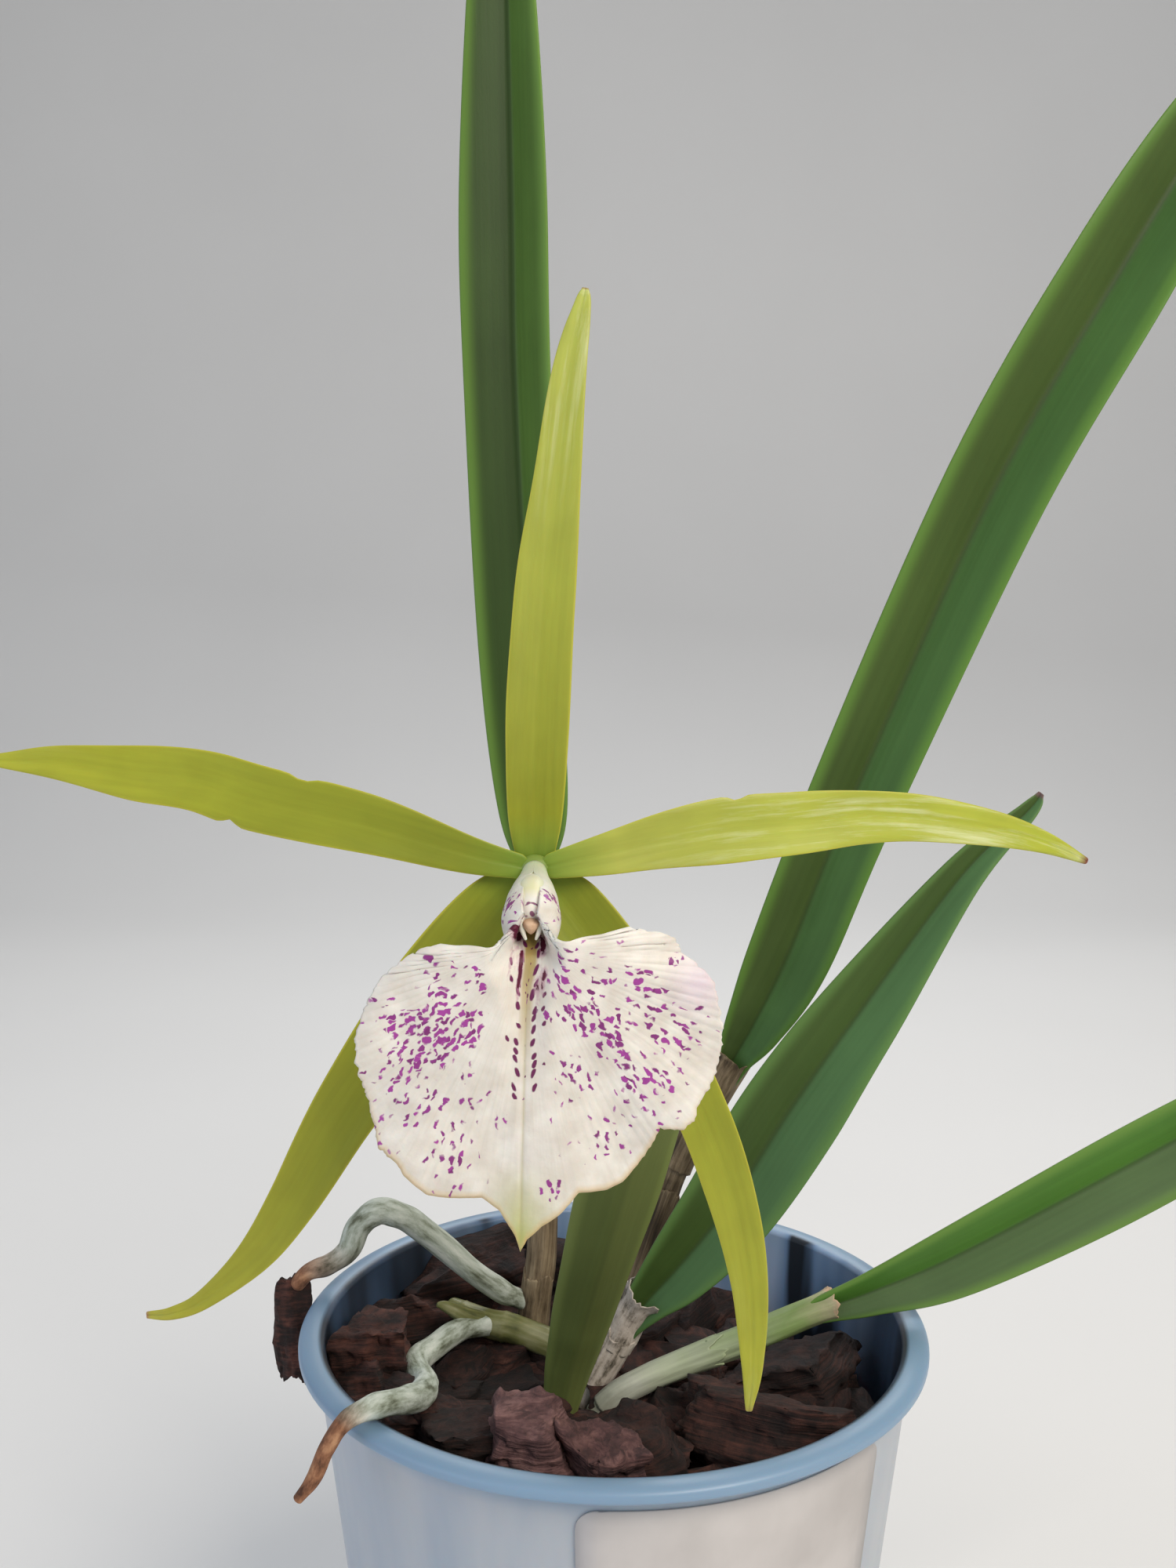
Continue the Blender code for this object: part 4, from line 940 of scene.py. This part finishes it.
# Radii in mm along the claw, in its body and its floor, and round its mouth from straight down.
CLAW_PROFILE = [(0, 1.15), (0.2, 1.7), (0.4, 2.5), (0.6, 3.1), (0.8, 3.4), (1, 3.5)]
CLAW_FLOOR = [(0, 1.15), (0.25, 1), (0.5, 0.4), (0.75, 0.5), (0.9, 1.3), (1, 2.1)]
SHOULDER = 0.84
MOUTH_OUTLINE = [(0, 2.1), (30, 2.5), (46, 2.9), (62, 2.6), (80, 2), (100, 1.7), (128, 1.8), (150, 2.3),
                 (165, 2.9), (180, 3.1)]
CLAW_SHUT = math.radians(180)
CLAW_AJAR = math.radians(165)
OPENING_START = 0.3
OPENING_RUN = 0.3
MOUTH_CROWDING = 1.7
THROAT_CROWDING = 1.4
THROAT_RISE = 0.0030
THROAT_FILLET = 0.0024
THROAT_SHARE = 0.12
CHANNEL_RUN = 0.011
CHANNEL_WIDTH = 0.0021
CHANNEL_DEPTH = 0.0011
CHANNEL_END = 0.017
CREASE_WIDTH = 0.0004
CREASE_DEPTH = 0.00016
MARGIN_LIFT = math.radians(18)
MARGIN_LIFT_SHARE = 0.14
BLADE_TILT = math.radians(5)
BLADE_LEAN = math.radians(-1.5)
LIP_WRAP_LEFT = math.radians(86.5)
LIP_WRAP_RIGHT = math.radians(99.5)
LIP_DROOP = 0.0022
MARGIN_LAG = 0.06
RIPPLE_HEIGHT = 0.0005
RIPPLE_COUNT = 11
COCKLE_HEIGHT = 0.0004
PLEAT_HEIGHT = 0.00005
PLEAT_SPACING = math.radians(2.6)
PLEAT_WANDER = 0.8
PLEAT_SPREAD = 0.7
PLEAT_START = 0.35
PLEAT_RUN = 0.4
TOOTH_DEPTH = 0.00035
TEETH_START = 22
TEETH_RUN = 12
LIP_ROWS = 140
LIP_SECTORS = 330
# The blade's outline: angle from its tip and radius in mm.
LIP_OUTLINE = [
    (-88.3, 6.2), (-86.3, 9.6), (-83.4, 12), (-79, 13.8), (-72.7, 16.6), (-66.9, 18.7), (-58.6, 21.5),
    (-53.1, 22.8), (-43.7, 24.7), (-37.9, 26.5), (-34.4, 28), (-29, 28.3), (-26, 29.1), (-20.3, 30),
    (-16.4, 29.7), (-8.7, 28.9), (-4.5, 30.1), (-1.2, 32.6), (0, 34.7), (1.2, 33.1), (4.2, 31.4),
    (8, 30.1), (12.6, 28), (18.5, 28.8), (22.5, 28.7), (29.8, 26.9), (36.7, 24.9), (40.2, 26.4),
    (44.2, 26.7), (46.7, 25.8), (55.3, 25.2), (63.8, 23.8), (71.2, 22.2), (79.1, 20.5), (83.7, 18.2),
    (86.3, 16.7), (93.3, 15.6), (96, 13.2), (100.2, 10.3),
]
# Where spots crowd: right of the middle and down from the throat, spread, all in mm, and chance.
SPOT_CROWDS = [
    (-9.3, 5.6, 1.6, 0.9), (-7.9, 8.2, 2.0, 0.9), (-5.9, 8.4, 1.4, 0.9), (-11.6, 9.0, 1.8, 0.9),
    (-12.5, 11.7, 1.8, 0.95), (-5.3, 3.6, 1.6, 0.85), (-9.1, 11.2, 2.0, 0.9), (-15.0, 8.5, 2.4, 0.5),
    (-9.7, 2.4, 1.8, 0.4), (-13.5, 15.0, 4.0, 0.30), (-10.5, 20.0, 5.0, 0.30), (-7.5, 25.2, 3.2, 0.30),
    (-6.4, 9.8, 1.7, 0.7), (-5.2, 14.5, 1.8, 0.25), (-15.5, 22.0, 2.5, 0.25), (4.4, 0.9, 1.3, 0.9),
    (-4.2, 18.6, 2.6, 0.12), (4.0, 3.6, 1.3, 0.95), (5.9, 5.6, 1.8, 0.85), (6.7, 8.3, 1.5, 0.95),
    (8.8, 10.0, 1.8, 0.7), (2.9, 7.2, 1.3, 0.7), (8.5, 2.8, 2.2, 0.45), (12.6, 3.6, 1.7, 0.7),
    (14.3, 5.6, 1.6, 0.8), (15.8, 1.8, 1.1, 0.95), (11.0, 8.5, 3.0, 0.4), (16.8, 9.5, 2.6, 0.6),
    (11.5, 13.5, 3.0, 0.50), (5.6, 14.6, 2.4, 0.55), (15.3, 15.5, 2.6, 0.5), (8.6, 20.8, 3.0, 0.35),
    (12.8, 18.4, 2.2, 0.45), (5.3, 24.6, 1.6, 0.30), (3.2, 26.9, 0.9, 0.6), (-7.4, -3.0, 2.2, 0.9),
    (7.6, -4.0, 2.4, 0.9),
]
CROWD_CONTRAST = 1.6
# Where maroon stains fill the throat: place, spread across and along, in mm, and strength.
THROAT_STAINS = [
    (-1.05, 3.7, 0.30, 2.3, 1.0), (-1.5, -0.6, 0.7, 1.1, 1.0), (1.5, 0.9, 0.55, 1.5, 1.0),
    (1.3, 5.2, 0.5, 1.4, 0.62), (1.9, 4.0, 0.4, 1.8, 0.58), (-2.3, 2.6, 0.3, 1.6, 0.45),
    (1.5, 4.6, 0.9, 2.4, 0.34), (-1.9, 2.2, 0.8, 2.6, 0.28),
]


def smooth_step(share):
    """Goes from 0 to 1, level at both ends."""
    share = min(max(share, 0), 1)
    return share * share * (3 - 2 * share)


def tilted_axes(tilt):
    """Directions of a piece that faces forward and nods by tilt: forward, and up across it."""
    forward = Vector((0, -math.cos(tilt), -math.sin(tilt)))
    return forward, Vector((0, -math.sin(tilt), math.cos(tilt)))


def claw_point(share):
    """Point of the claw's axis, from its back end to its mouth."""
    ahead = tilted_axes(CLAW_NOD)[0] * (CLAW_SET_BACK + CLAW_LENGTH * share)
    return FLOWER_CENTRE + ahead + Vector((CLAW_LEAN * share, 0, 0))


def level_at(rows, place):
    """Length in metres at a place, on straight lines through rows of places and mm."""
    low, high = next(((a, b) for a, b in zip(rows, rows[1:]) if place <= b[0]), rows[-2:])
    return (low[1] + (high[1] - low[1]) * (place - low[0]) / (high[0] - low[0])) / MM


def claw_radius(share, angle):
    """Radius of the claw: a bell with a floor that rises to the column, and a mouth like an arch."""
    body = level_at(CLAW_PROFILE, share)
    floor_share = ((1 + math.cos(angle)) / 2) ** 2
    body += (level_at(CLAW_FLOOR, share) - body) * floor_share
    degrees = abs(math.degrees(angle))
    mouth = sum(level_at(MOUTH_OUTLINE, min(max(degrees + off, 0), 180)) for off in (-9, -3, 3, 9)) / 4
    into_mouth = max((share - SHOULDER) / (1 - SHOULDER), 0)
    return mouth + (body - mouth) * math.sqrt(1 - into_mouth**2)


def claw_wrap(share):
    """Angle from straight down that the claw wraps to: shut at its neck, and ajar further on."""
    return CLAW_SHUT + (CLAW_AJAR - CLAW_SHUT) * smooth_step((share - OPENING_START) / OPENING_RUN)


def lip_reach(angle):
    """Radius of the blade's outline at an angle from its tip, with the fine teeth of its margin."""
    degrees = math.degrees(angle)
    reach = level_at(LIP_OUTLINE, degrees)
    toothed = min(max((abs(degrees) - TEETH_START) / TEETH_RUN, 0), 1)
    tooth = noise.noise(Vector((degrees * 0.55, 3.1, 0))) + 0.6 * noise.noise(Vector((degrees * 1.7, 8.2, 0)))
    return reach + TOOTH_DEPTH * toothed * tooth


def outward(angle, up):
    """Direction away from the axis, at an angle from straight down."""
    return Vector((math.sin(angle), 0, 0)) - up * math.cos(angle)


def claw_surface(run, side):
    """Point of the claw's middle surface. Its rows crowd towards the mouth."""
    share = 1 - (1 - run) ** MOUTH_CROWDING
    up = tilted_axes(CLAW_NOD)[1]
    angle = side * claw_wrap(share)
    radius = claw_radius(share, angle)
    mouth_foot = claw_radius(1, angle) * max(math.cos(angle), 0)
    flat = (angle * radius, (share - 1) * CLAW_LENGTH + mouth_foot, 0)
    return claw_point(share) + outward(angle, up) * radius, flat, (share - 1, side, 0)


def blade_surface(run, side):
    """Point of the blade's middle surface. Its rows crowd towards the throat."""
    share = run**THROAT_CROWDING
    opening = smooth_step(share / THROAT_SHARE)
    wrap = LIP_WRAP_RIGHT if side > 0 else LIP_WRAP_LEFT
    lifted = wrap + MARGIN_LIFT * math.exp(-((share / MARGIN_LIFT_SHARE) ** 2))
    angle = side * (CLAW_AJAR + (lifted - CLAW_AJAR) * opening)
    mouth = claw_radius(1, angle)
    lag = MARGIN_LAG * abs(side) ** 4
    out = (lip_reach(side * wrap) - mouth) * max(share - lag, 0) / (1 - lag)
    radius = mouth + out
    x = radius * math.sin(angle)
    fillet = THROAT_FILLET + CHANNEL_RUN * math.exp(-((x / CHANNEL_WIDTH) ** 2))
    rise = THROAT_RISE * math.sqrt(1 - (1 - min(out / fillet, 1)) ** 2)
    channel = math.exp(-((x / CHANNEL_WIDTH) ** 4)) * max(1 - out / CHANNEL_END, 0) * opening
    crease = math.exp(-((x / CREASE_WIDTH) ** 2)) * opening
    droop = LIP_DROOP * (share * math.sin(angle)) ** 2
    ripple = RIPPLE_HEIGHT * share**3 * math.sin(angle * RIPPLE_COUNT)
    pleated = min(max((share - PLEAT_START) / PLEAT_RUN, 0), 1) * abs(math.sin(angle)) ** PLEAT_SPREAD
    pleat_place = angle / PLEAT_SPACING + PLEAT_WANDER * noise.noise(Vector((angle * 7, share * 2, 0)))
    pleat = PLEAT_HEIGHT * pleated * math.cos(math.tau * pleat_place)
    cockle = COCKLE_HEIGHT * noise.noise(Vector((angle * 3.1, share * 4, 5.0))) * share
    face, up = tilted_axes(CLAW_NOD + (BLADE_TILT - CLAW_NOD) * opening)
    away = outward(angle + BLADE_LEAN * opening, up) * radius
    point = claw_point(1) + tilted_axes(CLAW_NOD)[0] * rise + away
    point.x -= CLAW_LEAN * opening
    sunk = CHANNEL_DEPTH * channel + CREASE_DEPTH * crease + droop
    point += face * (ripple + pleat + cockle - sunk)
    return point, (x, radius * math.cos(angle), 0), (share, side, 0)


def crowding(x, y):
    """Chance of a spot at a place on the flattened lip, in mm."""
    empty = 1.0
    for right, down, spread, strength in SPOT_CROWDS:
        empty *= 1 - strength * math.exp(-((x - right) ** 2 + (y - down) ** 2) / spread**2)
    return 1 - empty**CROWD_CONTRAST


def staining(x, y):
    """Strength of the maroon stains at a place on the flattened lip, in mm."""
    rows = (s * math.exp(-(((x - a) / w) ** 2) - ((y - b) / h) ** 2) for a, b, w, h, s in THROAT_STAINS)
    return max(rows)


def lip_mesh():
    def place(u, v):
        side = 2 * v - 1
        if u < CLAW_SHARE:
            return claw_surface(u / CLAW_SHARE, side)
        return blade_surface((u - CLAW_SHARE) / (1 - CLAW_SHARE), side)

    bm = bent_grid(LIP_ROWS, LIP_SECTORS, place)
    flat = bm.verts.layers.float_vector["straight"]
    crowd = bm.verts.layers.float.new("crowd")
    stain = bm.verts.layers.float.new("stain")
    for vert in bm.verts:
        x, y, _ = vert[flat] * MM
        vert[crowd] = crowding(x, y)
        vert[stain] = staining(x, y)
    return bm


# Petal tissue: waxy cream white and softly see-through, greener at its neck, crease and tip, with
# pigment in spots that are drawn out along the veins. All lengths in this tree are mm.
SPOT_CELL = 0.98
SPOT_LENGTH = 0.52
SPOT_WIDTH = 0.25
# Rows of dashes beside the middle: place, spacing, half width, half length, chance and reach.
DASH_ROWS = [(0.95, 1.2, 0.24, 0.50, 0.85, 17.0), (2.1, 1.5, 0.17, 0.40, 0.45, 13.0),
             (0.0, 1.4, 0.10, 0.20, 0.6, 15.0)]
DASH_WANDER = 0.28
lip_skin, add = finish_named("waxy_lip_petal", 0.45, IOR=1.42, Subsurface_Weight=0.15,
                             Subsurface_Scale=0.0012)
flat = add("Attribute", attribute_name="straight").outputs["Vector"]
crowd = add("Attribute", attribute_name="crowd").outputs["Fac"]
stain = add("Attribute", attribute_name="stain").outputs["Fac"]
out_share, side = along_and_across(add)
flat_mm = add("VectorMath", flat, MM, operation="SCALE")
flat_axes = add("SeparateXYZ", flat_mm).outputs
across, down = flat_axes["X"], flat_axes["Y"]
off_middle = add("Math", across, operation="ABSOLUTE")

# Ground colour: cloudy cream, green at the neck and tip, tan down the channel, lilac at one edge.
cloud = add("TexNoise", flat_mm, 0.3, 6)
ground = add("ValToRGB", cloud, stops=[(0.35, "#D8D2C7"), (0.65, "#EAE6DD")])
veins = add("TexNoise", add("Mapping", add("CombineXYZ", side, out_share), Scale=(70, 3, 1)), 1, 3)
tip = [add("MapRange", down, 24, 33), add("MapRange", off_middle, 5, 0)]
lower_margin = [add("MapRange", out_share, 0.965, 1, To_Max=0.75), add("MapRange", down, 14, 24)]
channel = [add("MapRange", down, 15, 1), add("MapRange", off_middle, 0.95, 0.5)]
right_edge = add("VectorMath", flat_mm, (18.5, 4, 0), operation="DISTANCE")
toned = lay_over(
    add, ground,
    (add("MapRange", veins, 0.5, 0.75, To_Max=0.22), "#BDB8A8"),
    (add("MapRange", out_share, -0.3, -1, To_Max=0.8), "#C9D6AC"),
    (add("Math", *tip, operation="MULTIPLY"), "#B4B863"),
    (add("Math", *lower_margin, operation="MULTIPLY"), "#D2B67C"),
    (add("MapRange", off_middle, 0.40, 0, To_Max=0.45), "#B0A878"),
    (add("Math", *channel, operation="MULTIPLY"), "#A8924F"),
    (add("MapRange", right_edge, 4.5, 0, To_Max=0.36), "#C9A6D6"),
)

# Spots: one to a cell of a bent net, in two nets, where the crowding lets its luck pass.
coarse_bend = add("TexNoise", flat_mm, 0.9, 1).outputs["Color"]
fine_bend = add("TexNoise", flat_mm, 3.4, 1).outputs["Color"]
bend_mix = add("Mix", 0.17, coarse_bend, fine_bend, data_type="RGBA")
bend = add("VectorMath", bend_mix, (0.5, 0.5, 0.5), operation="SUBTRACT")
bent = add("VectorMath", bend, (1.5, 1.5, 0), flat_mm, operation="MULTIPLY_ADD")
fan = add("CombineXYZ", add("MapRange", down, -3, 2, 0.15), 1)
for net_shift, least_crowd in ((0, 0), (37.3, 0.4)):
    shift = (net_shift, net_shift, 0)
    moved = add("VectorMath", bent, shift, operation="ADD")
    cells = add("TexVoronoi", moved, 1 / SPOT_CELL, Randomness=0.95, voronoi_dimensions="2D").outputs
    offset = add("VectorMath", moved, cells["Position"], operation="SUBTRACT")
    cell_place = add("VectorMath", cells["Position"], shift, operation="SUBTRACT")
    fanned = add("VectorMath", cell_place, fan, operation="MULTIPLY")
    vein = add("VectorMath", fanned, operation="NORMALIZE")
    lengthwise = add("VectorMath", offset, vein, operation="DOT_PRODUCT")
    whole = add("VectorMath", offset, offset, operation="DOT_PRODUCT")
    long_part = add("Math", lengthwise, lengthwise, operation="MULTIPLY")
    side_part = add("Math", whole, long_part, operation="SUBTRACT")
    long_term = add("Math", long_part, 1 / SPOT_LENGTH**2, operation="MULTIPLY")
    oval = add("Math", side_part, 1 / SPOT_WIDTH**2, long_term, operation="MULTIPLY_ADD")
    luck = add("SeparateXYZ", cells["Color"]).outputs
    open_crowd = add("Math", crowd, least_crowd, operation="SUBTRACT")
    present = add("Math", luck["X"], open_crowd, operation="LESS_THAN")
    drawn_size = add("MapRange", luck["Y"], To_Min=0.35, To_Max=1.4)
    room = add("MapRange", crowd, 0.2, 0.8, 0.5, 1.15)
    size = add("Math", drawn_size, room, operation="MULTIPLY")
    inside_oval = add("Math", size, oval, operation="SUBTRACT")
    soft_oval = add("MapRange", inside_oval, -0.1, 0.4)
    spots = add("Math", soft_oval, present, operation="MULTIPLY")
    toned = lay_over(add, toned, (spots, lay_over(add, "#7C2C70", (luck["Z"], "#A8429F"))))

# Dashes: rows beside the channel, each slanted and a little out of line.
side_sign = add("Math", across, operation="SIGN")
for index, (row_place, spacing, half_width, half_length, chance, reach) in enumerate(DASH_ROWS):
    row_seed = add("Math", side_sign, 31.7, 7.9 * index, operation="MULTIPLY_ADD")
    row_vector = add("CombineXYZ", row_seed, down)
    bent_row = add("VectorMath", bend, (0, 1, 0), row_vector, operation="MULTIPLY_ADD")
    dash_y = add("SeparateXYZ", bent_row).outputs["Y"]
    seeded = add("Math", side_sign, 53.3, dash_y, operation="MULTIPLY_ADD")
    cells = add("TexVoronoi", seeded, 1 / spacing, Randomness=0.7, voronoi_dimensions="1D").outputs
    luck = add("SeparateXYZ", cells["Color"]).outputs
    away_y = add("Math", seeded, cells["W"], operation="SUBTRACT")
    jitter = add("MapRange", luck["Y"], To_Min=row_place - DASH_WANDER, To_Max=row_place + DASH_WANDER)
    from_row = add("Math", off_middle, jitter, operation="SUBTRACT")
    slanted = add("Math", away_y, 0.35, from_row, operation="MULTIPLY_ADD")
    term_x = add("Math", slanted, 1 / half_width, operation="MULTIPLY")
    term_y = add("Math", away_y, 1 / half_length, operation="MULTIPLY")
    dash = add("VectorMath", add("CombineXYZ", term_x, term_y), operation="LENGTH")
    dash_there = add("Math", luck["X"], chance, operation="LESS_THAN")
    in_reach = add("Math", down, reach, operation="LESS_THAN")
    kept = add("Math", dash_there, in_reach, operation="MULTIPLY")
    amount = add("Math", add("MapRange", dash, 1.15, 0.8), kept, operation="MULTIPLY")
    toned = lay_over(add, toned, (amount, "#6A2152"))

# Stains in the throat: broken maroon patches with a pink edge.
stained = add("Math", add("TexNoise", bent, 1.3, 3), stain, operation="ADD")
toned = lay_over(add, toned, (add("MapRange", stained, 0.72, 0.95, To_Max=0.6), "#B5809A"),
                 (add("MapRange", stained, 0.98, 1.08), "#58102F"))
relief = add("Mix", 0.5, add("TexNoise", flat_mm, 2.2, 4), veins)
dress(lip_skin, Base_Color=toned, Normal=add("Bump", 0.25, 0.0003, Height=relief))

add_piece("spotted_lip", lip_mesh(), [lip_skin], "lip", LIP_THICKNESS)

# The column: the flower's fused stamen and pistil, a pale club that fills the hood. Its front end
# holds a tan anther cap between two white teeth, over the dark throat.
# For the column, share of the claw's length, rise above its axis and radius.
COLUMN_STATIONS = [(0.0, 0.0, 0.0005), (0.22, 0.0006, 0.0008), (0.42, 0.0014, 0.0014),
                   (0.62, 0.0018, 0.0019), (0.80, 0.0017, 0.0017), (0.94, 0.0014, 0.0012)]
CAP_SIZE = (0.0009, 0.0010, 0.0008)
CAP_WIDENING = 0.45
CAP_WIDEST = 0.2
CAP_BELOW = 1.3
CAP_ABOVE = 0.9
CAP_LIFT = 0.0010
CAP_SET_BACK = 0.0008
# For a tooth, place ahead, aside and above, and radius, all in mm.
TOOTH_PATH = [(-0.6, 0.95, 1.7, 0.34), (0.0, 1.1, 1.1, 0.32), (0.5, 0.85, 0.3, 0.27), (0.8, 0.50, -0.5, 0.14)]
TOOTH_SET_BACK = 0.9
WAXY_WHITE = {"IOR": 1.42, "Subsurface_Weight": 0.2, "Subsurface_Scale": 0.0015}

# Column: the lip's waxy tissue, greenish at its neck and yellow further on, with maroon flecks at
# its tip.
pale_column, add = finish_named("pale_waxy_column", 0.42, **WAXY_WHITE)
straight = add("Attribute", attribute_name="straight").outputs["Vector"]
along = along_and_across(add)[0]
run = add("ValToRGB", along, stops=[(0.15, "#CDD6BA"), (0.45, "#E6E5D0"), (0.72, "#E2E0B4"),
                                    (0.86, "#EDE9E1")])
fleck = add("MapRange", add("TexNoise", straight, MM / 1.1, 1), 0.60, 0.66)
at_tip = add("MapRange", along, 0.84, 0.88)
amount = add("Math", at_tip, fleck, operation="MULTIPLY")
dress(pale_column, Base_Color=lay_over(add, run, (amount, "#8C5A78")))
# Anther cap: thin dry tan skin, softly mottled.
tan_cap = clouded_finish("tan_anther_cap", 0.55, 900, 4, [(0.35, "#B58B68"), (0.65, "#D8B797")])
# Tooth: the same waxy tissue as the column, plain white.
white_tooth = clouded_finish("white_waxy_tooth", 0.42, 900, 3, [(0.35, "#D9D2C2"), (0.65, "#EEE9DC")],
                             **WAXY_WHITE)


def smooth(distance, angle):
    """Skin with no relief."""
    return 0


claw_forward, claw_up = tilted_axes(CLAW_NOD)
column = [(*(claw_point(share) + claw_up * rise), radius) for share, rise, radius in COLUMN_STATIONS]
add_piece("waxy_column", stem_mesh(column, (0, 0, 1), smooth, 80), [pale_column], "column")
column_end = claw_point(1)
bm = bmesh.new()
bmesh.ops.create_icosphere(bm, subdivisions=4, radius=1)
# Wider towards its top, and drawn out below.
for vert in bm.verts:
    vert.co.x *= 1 + CAP_WIDENING * min(vert.co.z, CAP_WIDEST)
    vert.co.z *= CAP_BELOW if vert.co.z < 0 else CAP_ABOVE
bmesh.ops.scale(bm, verts=bm.verts, vec=CAP_SIZE)
cap_place = column_end + claw_up * CAP_LIFT - claw_forward * CAP_SET_BACK
bmesh.ops.translate(bm, verts=bm.verts, vec=cap_place)
add_piece("anther_lid", bm, [tan_cap], "anther_cap")
for name, side in (("left", -1), ("right", 1)):
    tooth = []
    for ahead, aside, above, radius in TOOTH_PATH:
        point = column_end + claw_forward * (ahead - TOOTH_SET_BACK) / MM + claw_up * above / MM
        tooth.append((*(point + Vector((side * aside / MM, 0, 0))), radius / MM))
    add_piece(f"column_tooth_{name}", stem_mesh(tooth, (1, 0, 0), smooth, 30, 16), [white_tooth])

# The floor: a plain pale sheet that curves up behind the plant.
FLOOR_HALF_WIDTH = 7.0
FLOOR_FRONT = -7.0
FLOOR_BEND = 0.9
BEND_RADIUS = 0.6
BACKDROP_TOP = 2.4
FLOOR_STRIPS = 150

bm = bmesh.new()
bmesh.ops.create_grid(bm, x_segments=1, y_segments=FLOOR_STRIPS, size=0.5)
flat_run = FLOOR_BEND - FLOOR_FRONT
bend_run = BEND_RADIUS * math.pi / 2
for vert in bm.verts:
    travelled = (vert.co.y + 0.5) * (flat_run + bend_run + BACKDROP_TOP)
    x = vert.co.x * 2 * FLOOR_HALF_WIDTH
    angle = min(max((travelled - flat_run) / BEND_RADIUS, 0), math.pi / 2)
    y = FLOOR_FRONT + min(travelled, flat_run) + BEND_RADIUS * math.sin(angle)
    z = BEND_RADIUS * (1 - math.cos(angle)) + max(travelled - flat_run - bend_run, 0)
    vert.co = (x, y, z)
# Paper: matt and nearly white, with no grain.
floor_paper = clouded_finish("matt_pale_paper", 0.8, 3, 2, [(0.3, "#E6E6E5"), (0.7, "#EAEAE9")])
smooth_object("floor_sweep", bm, floor_paper)

# Light: a large soft key from the upper front right, a bluish fill from the left, a soft rim light
# from behind, and a pale sky.
LIGHTS = [
    ("key", (0.55, -0.75, 0.95), 0.7, 12.5, "#FFF6EA"),
    ("fill", (-0.9, -0.5, 0.45), 0.9, 3.0, "#DCE8FF"),
    ("rim", (0.1, 0.8, 0.9), 0.6, 4.0, "#FFFFFF"),
]
AIM = Vector((0, 0, 0.15))
SKY_STRENGTH = 0.36
for name, place, size, power, colour in LIGHTS:
    data = bpy.data.lights.new(name, "AREA")
    data.size = size
    data.energy = power
    data.color = linear(colour)[:3]
    light = bpy.data.objects.new(name, data)
    light.location = place
    light.rotation_euler = (AIM - Vector(place)).to_track_quat("-Z", "Y").to_euler()
    bpy.context.scene.collection.objects.link(light)
world = bpy.data.worlds.new("studio")
world.use_nodes = True
world.node_tree.nodes["Background"].inputs["Color"].default_value = linear("#E8ECF2")
world.node_tree.nodes["Background"].inputs["Strength"].default_value = SKY_STRENGTH
bpy.context.scene.world = world
bpy.context.scene.view_settings.view_transform = "Standard"

# Camera: level with the flower, close in front, looking slightly down.
CAMERA_PLACE = (-0.0042, -0.2325, 0.2038)
CAMERA_PITCH = math.radians(4.53)
FOCAL_LENGTH = 32.4
SENSOR_WIDTH = 36
NEAREST_SEEN = 0.01
data = bpy.data.cameras.new("camera")
data.sensor_width = SENSOR_WIDTH
data.lens = FOCAL_LENGTH
data.clip_start = NEAREST_SEEN
camera = bpy.data.objects.new("camera", data)
camera.location = CAMERA_PLACE
camera.rotation_euler = (math.radians(90) - CAMERA_PITCH, 0, 0)
bpy.context.scene.collection.objects.link(camera)
bpy.context.scene.camera = camera
